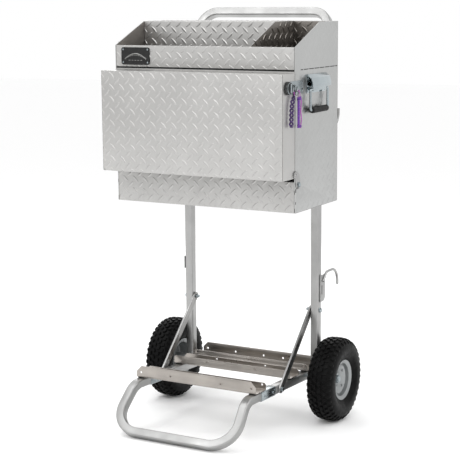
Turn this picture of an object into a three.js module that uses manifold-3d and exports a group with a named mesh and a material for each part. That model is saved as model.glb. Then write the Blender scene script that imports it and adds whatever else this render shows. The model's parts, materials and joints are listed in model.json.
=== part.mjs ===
// Tread-plate aluminium show box with an open tray and a fold-down door, on a two-wheeled hand cart.
// Millimetres, +Z up, the door faces -Y. The cart stands on its two tyres and its toe loop with its
// rails level, and its uprights and box lean forward a little about the axle. In the leaning group
// heights run along the uprights from a point FOOT_DEPTH under the axle, and y is counted from the axle.
import * as THREE from 'three';
import { mergeVertices } from 'three/addons/utils/BufferGeometryUtils.js';
import Module from 'manifold-3d';

const wasm = await Module();
wasm.setup();

// ---------- driving dimensions ----------
const GAP = 0.3;                       // clearance between touching pieces
const SHEET = 2;                       // thickness of the box's aluminium sheet
const TUBE = 25.4;                     // square aluminium tube
const TUBE_ROUND = 5;                  // its corner radius
const TUBE_WALL = 2;

const WHEEL_RADIUS = 126.5;
const TYRE_WIDTH = 85;
const WHEEL_X = 280.5;                 // middle of each tyre
const RIM_FLANGE_RADIUS = 61;
const RIM_HALF_WIDTH = 31;
const AXLE_RADIUS = 8;
const AXLE_HALF_LENGTH = 299;
const HUB_OUTER_END = 287;

const FOOT_DEPTH = 131;
const LEAN = THREE.MathUtils.degToRad(2.7);
const UPRIGHT_X = 218.2;               // middle of each upright
const UPRIGHT_Y = 2;
const UPRIGHT_FOOT = 112;
const HANDLE_BEND_HEIGHT = 1010;
const HANDLE_LEAN = THREE.MathUtils.degToRad(25);
const HANDLE_TOP = 1220.4;             // middle of the push bar
const HANDLE_CORNER = 55;

const RAIL_X = 185.3;                  // middle of each base rail
const RAIL_REAR = 13;
const RAIL_JOINT = -262;               // where the toe loop plugs into the rails
const TOE_KNEE = -385;
const TOE_REACH = -483;
const TOE_HALF_WIDTH = 197.6;
const TOE_KNEE_RADIUS = 60;
const TOE_CORNER = 74;
const SLEEVE = { front: -314, rear: -228, wall: 1.5 };

const BRACE = { width: 22, thickness: 6, middleX: 201.8, endRound: 13 };
const BRACE_TOP = { y: UPRIGHT_Y, z: 337 };
const BRACE_FOOT_Y = -200;
const BOLT = { radius: 4, head: 6.5, headLength: 5.5 };

const CHANNEL_HALF_LENGTH = 199;
const CHANNEL_SHEET = 2;
const CHANNEL_DEPTH = 64;
const PAD_THICKNESS = 2;
const CHANNEL_BASE = TUBE / 2 + PAD_THICKNESS + 2 * GAP;

const BOX_HALF_WIDTH = 291;
const BOX_FRONT = -289;
const BOX_REAR = -11.1;
const BOX_BOTTOM = 677.6;
const SEAM = 1070.6;                   // the joint between cabinet and tray
const TRAY_FRONT_TOP = 1132.2;
const BOX_TOP = 1197.8;
const LEDGE_FRONT = -134;              // where the sides' slope ends and the ledge starts
const DIVIDER_X = 151;

const DOOR = { bottom: 775, top: 1063, depth: 75.6 };
const DOOR_PIVOT = { y: -271, z: 756, radius: 4, head: 6.5 };
const EAR_THICKNESS = 2.2;
const LOWER_PANEL_TOP = 764;

const SIDE_HANDLE = { y: -159, halfWidth: 56, pivotX: 302, pivotZ: 1015, gripZ: 957, rod: 3.6, grip: 9 };
const LOCK = { y: -338, z: 1025, radius: 18, length: 10 };
const KEY_RING = { y: -305, z: 1020, radius: 12, wire: 1, x: 296.5 };

const STATIONS_PER_BEND = 6;

// ---------- materials ----------
function metal(color, roughness) {
  return new THREE.MeshStandardMaterial({ color, roughness, metalness: 1 });
}
function dull(color, roughness) {
  return new THREE.MeshStandardMaterial({ color, roughness, metalness: 0 });
}
const treadPlate = metal(0xc9c9c5, 0.35);
const tubeAluminium = metal(0xc4c7c6, 0.4);
const stainless = metal(0x9b938a, 0.35);
const zinc = metal(0xaebcc4, 0.3);
const chrome = metal(0xd7dadb, 0.12);
const rimPaint = dull(0xb9bcbc, 0.45);
const rubber = dull(0x161616, 0.8);
const darkSteel = metal(0x4a4f50, 0.4);
const namePaint = dull(0x1d1d1c, 0.4);
const purpleBraid = dull(0x3b1d5a, 0.8);
const violetRibbon = dull(0x7a3fb0, 0.6);

// ---------- shape helpers ----------
function solidOf(geometry) {
  const bare = geometry.clone();
  bare.deleteAttribute('normal');
  bare.deleteAttribute('uv');
  const merged = mergeVertices(bare, 1e-4);
  const vertProperties = Float32Array.from(merged.attributes.position.array);
  const triVerts = Uint32Array.from(merged.index.array);
  return new wasm.Manifold(new wasm.Mesh({ numProp: 3, vertProperties, triVerts }));
}

function geometryOf(solid) {
  const mesh = solid.getMesh();
  const geometry = new THREE.BufferGeometry();
  geometry.setAttribute('position', new THREE.BufferAttribute(Float32Array.from(mesh.vertProperties), 3));
  geometry.setIndex(new THREE.BufferAttribute(Uint32Array.from(mesh.triVerts), 1));
  geometry.computeVertexNormals();
  return geometry;
}

function cut(geometry, ...tools) {
  return geometryOf(tools.reduce((solid, tool) => solid.subtract(solidOf(tool)), solidOf(geometry)));
}

function join(geometry, ...others) {
  return geometryOf(others.reduce((solid, other) => solid.add(solidOf(other)), solidOf(geometry)));
}

function block(x0, x1, y0, y1, z0, z1) {
  const geometry = new THREE.BoxGeometry(x1 - x0, y1 - y0, z1 - z0);
  return geometry.translate((x0 + x1) / 2, (y0 + y1) / 2, (z0 + z1) / 2);
}

// A round bar along x, at (y, z).
function barX(radius, x0, x1, y, z, sides = 16) {
  const geometry = new THREE.CylinderGeometry(radius, radius, Math.abs(x1 - x0), sides);
  return geometry.rotateZ(Math.PI / 2).translate((x0 + x1) / 2, y, z);
}

// A round bar along y, at (x, z).
function barY(radius, y0, y1, x, z, sides = 16) {
  const geometry = new THREE.CylinderGeometry(radius, radius, Math.abs(y1 - y0), sides);
  return geometry.translate(x, (y0 + y1) / 2, z);
}

// An outline in (y, z), extruded along x.
function slabX(outline, x0, x1) {
  const shape = new THREE.Shape(outline.map(([y, z]) => new THREE.Vector2(y, z)));
  const geometry = new THREE.ExtrudeGeometry(shape, { depth: x1 - x0, bevelEnabled: false });
  const yzToWorld = new THREE.Matrix4().set(0, 0, 1, x0, 1, 0, 0, 0, 0, 1, 0, 0, 0, 0, 0, 1);
  return geometry.applyMatrix4(yzToWorld);
}

function mirrored(geometry) {
  const copy = geometry.clone().scale(-1, 1, 1);
  const index = copy.index ? Array.from(copy.index.array) : [...Array(copy.attributes.position.count).keys()];
  for (let i = 0; i < index.length; i += 3) {
    [index[i + 1], index[i + 2]] = [index[i + 2], index[i + 1]];
  }
  copy.setIndex(index);
  copy.computeVertexNormals();
  return copy;
}

function roundedSquare(size, radius, stepsPerCorner = 3) {
  const shape = new THREE.Shape();
  const flat = size / 2 - radius;
  const corners = [[flat, flat, 0], [-flat, flat, 90], [-flat, -flat, 180], [flat, -flat, 270]];
  const points = [];
  for (const [cx, cy, start] of corners) {
    for (let i = 0; i <= stepsPerCorner; i += 1) {
      const angle = THREE.MathUtils.degToRad(start + (90 * i) / stepsPerCorner);
      points.push(new THREE.Vector2(cx + radius * Math.cos(angle), cy + radius * Math.sin(angle)));
    }
  }
  shape.setFromPoints(points);
  return shape;
}

function circle(radius, sides) {
  const points = [];
  for (let i = 0; i < sides; i += 1) {
    const angle = (2 * Math.PI * i) / sides;
    points.push(new THREE.Vector2(radius * Math.cos(angle), radius * Math.sin(angle)));
  }
  return new THREE.Shape(points);
}

// A path of straight runs joined by round bends, with stations only where the tube bends.
class BentPath extends THREE.Curve {
  constructor(corners, radii, stationsPerBend = STATIONS_PER_BEND) {
    super();
    this.stations = [corners[0]];
    for (let i = 1; i < corners.length - 1; i += 1) {
      this.addBend(corners[i - 1], corners[i], corners[i + 1], radii[i - 1], stationsPerBend);
    }
    this.stations.push(corners[corners.length - 1]);
  }

  addBend(before, corner, after, radius, count) {
    const inward = before.clone().sub(corner).normalize();
    const outward = after.clone().sub(corner).normalize();
    const half = inward.angleTo(outward) / 2;
    const middle = inward.clone().add(outward).normalize();
    const centre = corner.clone().addScaledVector(middle, radius / Math.sin(half));
    const reach = radius / Math.tan(half);
    const from = corner.clone().addScaledVector(inward, reach).sub(centre);
    const to = corner.clone().addScaledVector(outward, reach).sub(centre);
    const sweep = from.angleTo(to);
    for (let i = 0; i <= count; i += 1) {
      const t = i / count;
      const point = from.clone().multiplyScalar(Math.sin((1 - t) * sweep) / Math.sin(sweep));
      point.addScaledVector(to, Math.sin(t * sweep) / Math.sin(sweep));
      this.stations.push(point.add(centre));
    }
  }

  get steps() {
    return this.stations.length - 1;
  }

  getPoint(t, target = new THREE.Vector3()) {
    const place = Math.min(t, 1) * this.steps;
    const index = Math.min(Math.floor(place + 1e-6), this.steps - 1);
    return target.lerpVectors(this.stations[index], this.stations[index + 1], place - index);
  }

  getPointAt(u, target) {
    return this.getPoint(u, target);
  }

  getTangentAt(u, target = new THREE.Vector3()) {
    const index = Math.round(u * this.steps);
    const before = this.stations[Math.max(index - 1, 0)];
    const here = this.stations[index];
    const after = this.stations[Math.min(index + 1, this.steps)];
    const incoming = here.clone().sub(before).normalize();
    const outgoing = after.clone().sub(here).normalize();
    return target.copy(incoming).add(outgoing).normalize();
  }
}

function sweep(section, path) {
  return new THREE.ExtrudeGeometry(section, { steps: path.steps, extrudePath: path, bevelEnabled: false });
}

function tubeSection() {
  const section = roundedSquare(TUBE, TUBE_ROUND);
  const bore = roundedSquare(TUBE - 2 * TUBE_WALL, TUBE_ROUND - TUBE_WALL, 1);
  section.holes.push(new THREE.Path(bore.getPoints()));
  return section;
}

function point(x, y, z) {
  return new THREE.Vector3(x, y, z);
}

// A ring turned about the x axis; profile points are [radius, x] and the first is repeated at the end.
function turned(profile, segments) {
  const points = profile.map(([radius, x]) => new THREE.Vector2(radius, x));
  return geometryOf(solidOf(new THREE.LatheGeometry(points, segments).rotateZ(-Math.PI / 2)));
}

// ---------- groups ----------
function cornerReach(angle) {
  const flat = TUBE / 2 - TUBE_ROUND;
  return flat * (Math.cos(angle) + Math.sin(angle)) + TUBE_ROUND;
}

// How far the toe loop's bar lies below the rails; its lowest corner rests on the ground.
let toeDrop = WHEEL_RADIUS;
for (let i = 0; i < 8; i += 1) {
  const slope = Math.atan2(toeDrop, TOE_KNEE - TOE_REACH);
  toeDrop = WHEEL_RADIUS - cornerReach(slope);
}
const toeFront = TOE_REACH - cornerReach(Math.atan2(toeDrop, TOE_KNEE - TOE_REACH));
const AXLE_Y = -(toeFront + WHEEL_RADIUS) / 2;

const object = new THREE.Group();

const base = new THREE.Group();        // counted from the axle
base.position.set(0, AXLE_Y, WHEEL_RADIUS);
object.add(base);

const leaning = new THREE.Group();
leaning.rotation.x = LEAN;
base.add(leaning);

const tall = new THREE.Group();        // heights along the uprights
tall.position.z = -FOOT_DEPTH;
leaning.add(tall);

function add(group, name, geometry, material) {
  const mesh = new THREE.Mesh(geometry, material);
  mesh.name = name;
  group.add(mesh);
}

const SIDES = [['left', -1], ['right', 1]];

function addPair(group, name, geometry, material) {
  for (const [side, sign] of SIDES) {
    add(group, `${name}_${side}`, sign > 0 ? geometry : mirrored(geometry), material);
  }
}

// ---------- upper frame: two uprights and the push bar in one bent tube ----------
const boxBoltPlaces = [
  ['upper', 950],
  ['lower', 740],
];

function upperFrame() {
  const handleY = UPRIGHT_Y + (HANDLE_TOP - HANDLE_BEND_HEIGHT) * Math.tan(HANDLE_LEAN);
  const half = [
    point(UPRIGHT_X, UPRIGHT_Y, UPRIGHT_FOOT),
    point(UPRIGHT_X, UPRIGHT_Y, HANDLE_BEND_HEIGHT),
    point(UPRIGHT_X, handleY, HANDLE_TOP),
  ];
  const otherHalf = half.map((p) => point(-p.x, p.y, p.z)).reverse();
  const path = new BentPath([...half, ...otherHalf], [80, HANDLE_CORNER, HANDLE_CORNER, 80]);
  const holes = [barX(AXLE_RADIUS + GAP, -250, 250, 0, FOOT_DEPTH)];
  for (const [, sign] of SIDES) {
    const x = sign * UPRIGHT_X;
    holes.push(barX(BOLT.radius + GAP, x - 20, x + 20, BRACE_TOP.y, BRACE_TOP.z));
    for (const [, height] of boxBoltPlaces) {
      holes.push(barY(BOLT.radius + GAP, UPRIGHT_Y - 20, UPRIGHT_Y + 20, x, height));
    }
  }
  return cut(sweep(tubeSection(), path), ...holes);
}
add(tall, 'upper_frame_loop', upperFrame(), tubeAluminium);

// ---------- base: rails, toe loop and their coupling sleeves ----------
function rail() {
  const path = new BentPath([point(RAIL_X, RAIL_REAR, 0), point(RAIL_X, RAIL_JOINT, 0)], []);
  const boltHole = barX(BOLT.radius + GAP, RAIL_X - 20, RAIL_X + 20, BRACE_FOOT_Y, 0);
  const axleHole = barX(AXLE_RADIUS + GAP, RAIL_X - 20, RAIL_X + 20, 0, 0);
  return cut(sweep(tubeSection(), path), boltHole, axleHole);
}
addPair(base, 'base_rail', rail(), tubeAluminium);

function toeLoop() {
  const half = [
    point(RAIL_X, RAIL_JOINT - GAP, 0),
    point(RAIL_X, TOE_KNEE, 0),
    point(TOE_HALF_WIDTH, TOE_REACH, -toeDrop),
  ];
  const otherHalf = half.map((p) => point(-p.x, p.y, p.z)).reverse();
  const radii = [TOE_KNEE_RADIUS, TOE_CORNER, TOE_CORNER, TOE_KNEE_RADIUS];
  return sweep(tubeSection(), new BentPath([...half, ...otherHalf], radii));
}
add(base, 'toe_loop', toeLoop(), tubeAluminium);

function sleeve() {
  const inner = TUBE + 2 * GAP;
  const section = roundedSquare(inner + 2 * SLEEVE.wall, TUBE_ROUND + SLEEVE.wall);
  section.holes.push(new THREE.Path(roundedSquare(inner, TUBE_ROUND + GAP).getPoints()));
  const path = new BentPath([point(RAIL_X, SLEEVE.rear, 0), point(RAIL_X, SLEEVE.front, 0)], []);
  return sweep(section, path);
}
addPair(base, 'coupling_sleeve', sleeve(), zinc);

// ---------- braces and their bolts ----------
const braceRise = BRACE_TOP.z - FOOT_DEPTH;
const braceHead = {
  y: BRACE_TOP.y * Math.cos(LEAN) - braceRise * Math.sin(LEAN),
  z: BRACE_TOP.y * Math.sin(LEAN) + braceRise * Math.cos(LEAN),
};
const braceFoot = { y: BRACE_FOOT_Y, z: 0 };

function brace() {
  const length = Math.hypot(braceHead.y - braceFoot.y, braceHead.z - braceFoot.z);
  const angle = Math.atan2(braceHead.z - braceFoot.z, braceHead.y - braceFoot.y);
  const half = BRACE.width / 2;
  const outline = [];
  for (let i = 0; i <= 6; i += 1) {
    const turn = -Math.PI / 2 + (Math.PI * i) / 6;
    outline.push([length + BRACE.endRound * Math.cos(turn), half * Math.sin(turn)]);
  }
  for (let i = 0; i <= 6; i += 1) {
    const turn = Math.PI / 2 + (Math.PI * i) / 6;
    outline.push([BRACE.endRound * Math.cos(turn), half * Math.sin(turn)]);
  }
  const turnedOutline = outline.map(([along, across]) => [
    braceFoot.y + along * Math.cos(angle) - across * Math.sin(angle),
    braceFoot.z + along * Math.sin(angle) + across * Math.cos(angle),
  ]);
  const x0 = BRACE.middleX - BRACE.thickness / 2;
  const x1 = BRACE.middleX + BRACE.thickness / 2;
  const topHole = barX(BOLT.radius + GAP, x0 - 5, x1 + 5, braceHead.y, braceHead.z);
  const footHole = barX(BOLT.radius + GAP, x0 - 5, x1 + 5, braceFoot.y, braceFoot.z);
  return cut(slabX(turnedOutline, x0, x1), topHole, footHole);
}
addPair(base, 'brace', brace(), tubeAluminium);

// A hexagon bolt along x from its head's seat to its nut's seat.
function boltX(headSeat, nutSeat, y, z) {
  const shank = barX(BOLT.radius, nutSeat - 2 * BOLT.headLength, headSeat + 1, y, z, 12);
  const head = barX(BOLT.head, headSeat, headSeat + BOLT.headLength, y, z, 6);
  const nut = barX(BOLT.head, nutSeat - BOLT.headLength, nutSeat, y, z, 6);
  return join(shank, head, nut);
}
const braceOuter = BRACE.middleX + BRACE.thickness / 2;
const braceInner = BRACE.middleX - BRACE.thickness / 2;
const uprightOuter = UPRIGHT_X + TUBE / 2;
const upperBolt = boltX(uprightOuter + GAP, braceInner - GAP, BRACE_TOP.y, BRACE_TOP.z);
addPair(tall, 'brace_bolt_upper', upperBolt, zinc);
const railInner = RAIL_X - TUBE / 2;
const lowerBolt = boltX(braceOuter + GAP, railInner - GAP, braceFoot.y, braceFoot.z);
addPair(base, 'brace_bolt_lower', lowerBolt, zinc);

// ---------- cross channels ----------
// Each lies across both rails. front and rear are the heights of its two flanges over its underside.
function channel({ y, front, rear, frontHoles, rearHoles, holeHeight, chamferFront, chamferRear }) {
  const z0 = CHANNEL_BASE;
  const outline = [
    [y, z0 + front],
    [y, z0],
    [y + CHANNEL_DEPTH, z0],
    [y + CHANNEL_DEPTH, z0 + rear],
    [y + CHANNEL_DEPTH - CHANNEL_SHEET, z0 + rear],
    [y + CHANNEL_DEPTH - CHANNEL_SHEET, z0 + CHANNEL_SHEET],
    [y + CHANNEL_SHEET, z0 + CHANNEL_SHEET],
    [y + CHANNEL_SHEET, z0 + front],
  ];
  const tools = [];
  const addHoles = (places, atY) => {
    for (const x of places) {
      tools.push(barY(3, atY - 4, atY + 4, x, z0 + holeHeight, 12));
    }
  };
  addHoles(frontHoles, y + CHANNEL_SHEET / 2);
  addHoles(rearHoles, y + CHANNEL_DEPTH - CHANNEL_SHEET / 2);
  const chamfer = (size, height, y0, y1) => {
    for (const [, sign] of SIDES) {
      const wedge = new THREE.BoxGeometry(size * 2, y1 - y0, size * 2).rotateY(Math.PI / 4);
      const corner = new THREE.Vector3(sign * CHANNEL_HALF_LENGTH, (y0 + y1) / 2, z0 + height);
      const outward = size * (Math.SQRT2 - 1 / Math.SQRT2) / Math.SQRT2;
      corner.add(new THREE.Vector3(sign * outward, 0, outward));
      tools.push(wedge.translate(corner.x, corner.y, corner.z));
    }
  };
  chamfer(chamferFront, front, y - 3, y + CHANNEL_SHEET + 3);
  chamfer(chamferRear, rear, y + CHANNEL_DEPTH - CHANNEL_SHEET - 3, y + CHANNEL_DEPTH + 3);
  return cut(slabX(outline, -CHANNEL_HALF_LENGTH, CHANNEL_HALF_LENGTH), ...tools);
}

const CHANNELS = {
  front: {
    y: -352, front: 34.5, rear: 21, holeHeight: 15.2, chamferFront: 16, chamferRear: 6,
    frontHoles: [-184, -83, 85, 184], rearHoles: [-184, -112, -12, 88, 186],
  },
  middle: {
    y: -138, front: 24, rear: 20, holeHeight: 15.2, chamferFront: 4, chamferRear: 9,
    frontHoles: [-83, 83], rearHoles: [-83, 85],
  },
  rear: {
    y: -19.5, front: 21, rear: 34.5, holeHeight: 15.2, chamferFront: 6, chamferRear: 15,
    frontHoles: [-186, 186], rearHoles: [-183, -82, 18, 86, 184],
  },
};
for (const [place, dimensions] of Object.entries(CHANNELS)) {
  add(base, `${place}_cross_channel`, channel(dimensions), stainless);
  const padFront = dimensions.y + 3;
  const padZ = TUBE / 2 + GAP;
  const pad = block(RAIL_X - 10, RAIL_X + 12, padFront, padFront + 28, padZ, padZ + PAD_THICKNESS);
  addPair(base, `${place}_channel_pad`, pad, rubber);
}

// ---------- axle and wheels ----------
add(base, 'axle', barX(AXLE_RADIUS, -AXLE_HALF_LENGTH, AXLE_HALF_LENGTH, 0, 0, 24), zinc);

function tyre() {
  const half = TYRE_WIDTH / 2;
  const bead = 52;
  const inboard = [
    [bead, -23.3], [56, -25.9], [61.5, -28.7], [64.5, -31.5], [72, -37], [83, -41],
    [95, -half], [109, -39.5], [120, -31.5], [125, -18],
  ];
  const outboard = inboard.map(([radius, x]) => [radius, -x]).reverse();
  return turned([...inboard, [WHEEL_RADIUS, 0], ...outboard, inboard[0]], 40);
}

// One pressed rim with its hub tube; the outboard face is dished down to the hub.
function rim() {
  const hub = 15;
  const bore = AXLE_RADIUS + GAP;
  const seat = 51.5;
  const inside = seat - 2;
  const outerEnd = HUB_OUTER_END - WHEEL_X;
  const flange = RIM_FLANGE_RADIUS;
  const edge = RIM_HALF_WIDTH;
  const inboardFlange = [
    [inside, -26.5], [flange - 2, -edge], [flange, -edge + 0.5], [flange, -29.1], [56, -26.5],
  ];
  const outboardFlange = inboardFlange.map(([radius, x]) => [radius, -x]).reverse();
  return turned([
    [bore, -46], [hub, -46], [hub, 2], [30, 8], [45.5, 13.5], [inside, 15],
    ...inboardFlange, [seat, -23.9], [seat, 23.9], ...outboardFlange,
    [inside, 19], [45.5, 17.5], [30, 12], [hub + 4, 8], [hub, outerEnd], [bore, outerEnd], [bore, -46],
  ], 40);
}

function axleNut() {
  const start = HUB_OUTER_END + GAP;
  const washer = barX(14, start, start + 2, 0, 0, 24);
  const nut = barX(12.5, start + 2, start + 10, 0, 0, 6);
  return cut(join(washer, nut), barX(AXLE_RADIUS + GAP, start - 5, start + 20, 0, 0, 24));
}

addPair(base, 'tyre', tyre().translate(WHEEL_X, 0, 0), rubber);
addPair(base, 'rim', rim().translate(WHEEL_X, 0, 0), rimPaint);
addPair(base, 'axle_nut', axleNut(), zinc);

// ---------- cord hooks and the clip on the left upright ----------
const HOOK = { x: uprightOuter + GAP, plate: 3, rod: 4.2, plateRear: 33, reach: 118, rise: 449, end: 397 };
function cordHook() {
  const { x, plate, reach, rise, end } = HOOK;
  const outline = [[0, 362], [24, 362], [HOOK.plateRear, 371], [HOOK.plateRear, 440], [28, 444], [0, 444]];
  const slot = [[8, 384], [12, 384], [12, 412], [8, 412]];
  const plateSolid = cut(slabX(outline, x, x + plate), slabX(slot, x - 5, x + 10));
  const rodX = x + HOOK.rod;
  const corners = [[14, rise - 25], [39, rise], [reach, rise], [reach, end]];
  const path = new BentPath(corners.map(([y, z]) => point(rodX, y, z)), [22, 42], 8);
  return join(sweep(circle(HOOK.rod, 10), path), plateSolid);
}
add(tall, 'cord_hook_lower', cordHook(), tubeAluminium);
const hookMirrorHeight = 1332;
function upperHook() {
  const flipped = cordHook().clone().rotateX(Math.PI);
  flipped.translate(0, 0, hookMirrorHeight);
  const reversed = flipped.scale(1, -1, 1);
  const index = Array.from(reversed.index.array);
  for (let i = 0; i < index.length; i += 3) {
    [index[i + 1], index[i + 2]] = [index[i + 2], index[i + 1]];
  }
  reversed.setIndex(index);
  reversed.computeVertexNormals();
  return reversed;
}
add(tall, 'cord_hook_upper', upperHook(), tubeAluminium);
const clipX = -uprightOuter - GAP;
add(tall, 'upright_clip', block(clipX - 4, clipX, -11, 8, 426, 464), tubeAluminium);

// ---------- box ----------
const insideX = BOX_HALF_WIDTH - SHEET - GAP;
const insideRear = BOX_REAR - SHEET - GAP;

function sidePanel() {
  const outline = [
    [BOX_FRONT, BOX_BOTTOM], [BOX_REAR, BOX_BOTTOM], [BOX_REAR, BOX_TOP],
    [LEDGE_FRONT, BOX_TOP], [BOX_FRONT, TRAY_FRONT_TOP],
  ];
  const panel = slabX(outline, BOX_HALF_WIDTH - SHEET, BOX_HALF_WIDTH);
  const x0 = BOX_HALF_WIDTH - 5;
  const x1 = BOX_HALF_WIDTH + 5;
  const seamSlit = block(x0, x1, BOX_FRONT + 34, BOX_REAR - 3, SEAM - 1, SEAM + 0.6);
  const pivotHole = barX(DOOR_PIVOT.radius + GAP, x0, x1, DOOR_PIVOT.y, DOOR_PIVOT.z);
  return cut(panel, seamSlit, pivotHole);
}
addPair(tall, 'side_panel', sidePanel(), treadPlate);

function boxBoltHoles(y0, y1) {
  const holes = [];
  for (const [, sign] of SIDES) {
    for (const [, height] of boxBoltPlaces) {
      holes.push(barY(BOLT.radius + GAP, y0, y1, sign * UPRIGHT_X, height));
    }
  }
  return holes;
}
const backPlate = block(-insideX, insideX, BOX_REAR - SHEET, BOX_REAR, BOX_BOTTOM, BOX_TOP);
add(tall, 'back_panel', cut(backPlate, ...boxBoltHoles(BOX_REAR - 10, BOX_REAR + 10)), treadPlate);

const floorFront = BOX_FRONT + SHEET + GAP;
const floorPlate = block(-insideX, insideX, floorFront, insideRear, BOX_BOTTOM, BOX_BOTTOM + SHEET);
add(tall, 'cabinet_floor', floorPlate, treadPlate);
const frontY = [BOX_FRONT, BOX_FRONT + SHEET];
add(tall, 'lower_front_panel', block(-insideX, insideX, ...frontY, BOX_BOTTOM, LOWER_PANEL_TOP), treadPlate);

// The cabinet's top is the tray's floor; its front edge is folded down over the door opening.
function cabinetTop() {
  const top = SEAM - 1;
  const outline = [
    [BOX_FRONT, top], [BOX_FRONT, DOOR.top - 5], [BOX_FRONT + SHEET, DOOR.top - 5],
    [BOX_FRONT + SHEET, top - SHEET], [insideRear, top - SHEET], [insideRear, top],
  ];
  return slabX(outline, -insideX, insideX);
}
add(tall, 'cabinet_top', cabinetTop(), treadPlate);

add(tall, 'tray_front', block(-insideX, insideX, ...frontY, SEAM + 0.6, TRAY_FRONT_TOP), treadPlate);
const dividerFace = DIVIDER_X - SHEET / 2;
function trayLedge() {
  const floor = SEAM - 1 + GAP;
  const outline = [
    [LEDGE_FRONT, floor], [LEDGE_FRONT + SHEET, floor], [LEDGE_FRONT + SHEET, BOX_TOP - SHEET],
    [insideRear, BOX_TOP - SHEET], [insideRear, BOX_TOP], [LEDGE_FRONT, BOX_TOP],
  ];
  return slabX(outline, -insideX, dividerFace - GAP);
}
add(tall, 'tray_back_and_ledge', trayLedge(), treadPlate);

function divider() {
  const floor = SEAM - 1 + GAP;
  const outline = [
    [floorFront, floor], [insideRear, floor], [insideRear, BOX_TOP], [LEDGE_FRONT, BOX_TOP],
    [floorFront, TRAY_FRONT_TOP],
  ];
  return slabX(outline, dividerFace, dividerFace + SHEET);
}
add(tall, 'tray_divider', divider(), treadPlate);

// ---------- bolts that hold the box to the uprights ----------
function boxBolt(sign, height) {
  const x = sign * UPRIGHT_X;
  const rear = UPRIGHT_Y + TUBE / 2 + GAP;
  const front = BOX_REAR - SHEET - GAP;
  const shank = barY(BOLT.radius, front - 1, rear + 7, x, height, 12);
  const head = barY(7.5, front - 3, front, x, height, 16);
  const nut = barY(BOLT.head, rear, rear + BOLT.headLength, x, height, 6);
  return join(shank, head, nut);
}
for (const [side, sign] of SIDES) {
  for (const [level, height] of boxBoltPlaces) {
    add(tall, `box_bolt_${level}_${side}`, boxBolt(sign, height), zinc);
  }
}

// ---------- door, its ears and its pivot rod ----------
const doorRear = BOX_FRONT - 0.8;
const doorFront = doorRear - DOOR.depth + 0.8;
function doorPan() {
  const shell = block(-BOX_HALF_WIDTH, BOX_HALF_WIDTH, doorFront, doorRear, DOOR.bottom, DOOR.top);
  const inside = BOX_HALF_WIDTH - SHEET;
  return cut(shell, block(-inside, inside, doorFront + SHEET, 0, DOOR.bottom + SHEET, DOOR.top - SHEET));
}
add(tall, 'door_pan', doorPan(), treadPlate);

// The door turns on a rod through the cabinet, held by an ear on the outside of each of its ends.
function doorEar() {
  const x = BOX_HALF_WIDTH + GAP;
  const outline = [
    [-300, 778], [-289, 772], [-285, 752], [-278, 744], [-266, 744], [-259, 750],
    [-259, 764], [-268, 786], [-279, 794], [-290, 795], [-300, 790],
  ];
  const hole = barX(DOOR_PIVOT.radius + GAP, x - 3, x + 8, DOOR_PIVOT.y, DOOR_PIVOT.z);
  return cut(slabX(outline, x, x + EAR_THICKNESS), hole);
}
addPair(tall, 'door_ear', doorEar(), zinc);

function pivotRod() {
  const { y, z, radius, head } = DOOR_PIVOT;
  const seat = BOX_HALF_WIDTH + 2 * GAP + EAR_THICKNESS;
  const rod = barX(radius, -seat - 1, seat + 1, y, z, 12);
  const rightHead = barX(head, seat, seat + 4, y, z, 6);
  const leftHead = barX(head, -seat - 4, -seat, y, z, 6);
  return join(rod, rightHead, leftHead);
}
add(tall, 'door_pivot_rod', pivotRod(), zinc);

// ---------- lock, key ring and ribbons ----------
const sideFace = BOX_HALF_WIDTH + GAP;
function hasp() {
  const plate = block(sideFace, sideFace + 2, -319, -245, 1006, 1042);
  const stud = barX(2.5, sideFace + 1, sideFace + 9, KEY_RING.y, KEY_RING.z + KEY_RING.radius - 4, 12);
  return join(plate, stud);
}
add(tall, 'hasp_plate', hasp(), zinc);

function lockKnob() {
  const disc = barX(LOCK.radius, sideFace, sideFace + LOCK.length, LOCK.y, LOCK.z, 28);
  const grip = block(sideFace + 5, sideFace + 14, LOCK.y - 3, LOCK.y + 3, LOCK.z - 13, LOCK.z + 13);
  return join(disc, grip);
}
add(tall, 'lock_knob', lockKnob(), darkSteel);

function keyRing() {
  const ring = new THREE.TorusGeometry(KEY_RING.radius, KEY_RING.wire, 6, 24);
  return ring.rotateY(Math.PI / 2).translate(KEY_RING.x, KEY_RING.y, KEY_RING.z);
}
add(tall, 'key_ring', keyRing(), zinc);

// The two ribbons hang from the key ring; their routes are points in (y, z) at a fixed distance out.
const RIBBON_X = 300;
const BRAID = { radius: 5, route: [[-314, 1003], [-322, 990], [-327, 975], [-329, 950], [-331, 920]] };
const RIBBON = { radius: 5, route: [[-286, 1018], [-283, 1005], [-281, 985], [-280, 950], [-281, 914]] };
function hangingCord({ radius, route }) {
  const curve = new THREE.CatmullRomCurve3(route.map(([y, z]) => point(RIBBON_X, y, z)));
  const steps = Math.round(curve.getLength() / (2.5 * radius));
  return new THREE.ExtrudeGeometry(circle(radius, 8), { steps, extrudePath: curve, bevelEnabled: false });
}
add(tall, 'braided_lanyard', hangingCord(BRAID), purpleBraid);
add(tall, 'ribbon_lanyard', hangingCord(RIBBON), violetRibbon);

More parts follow.
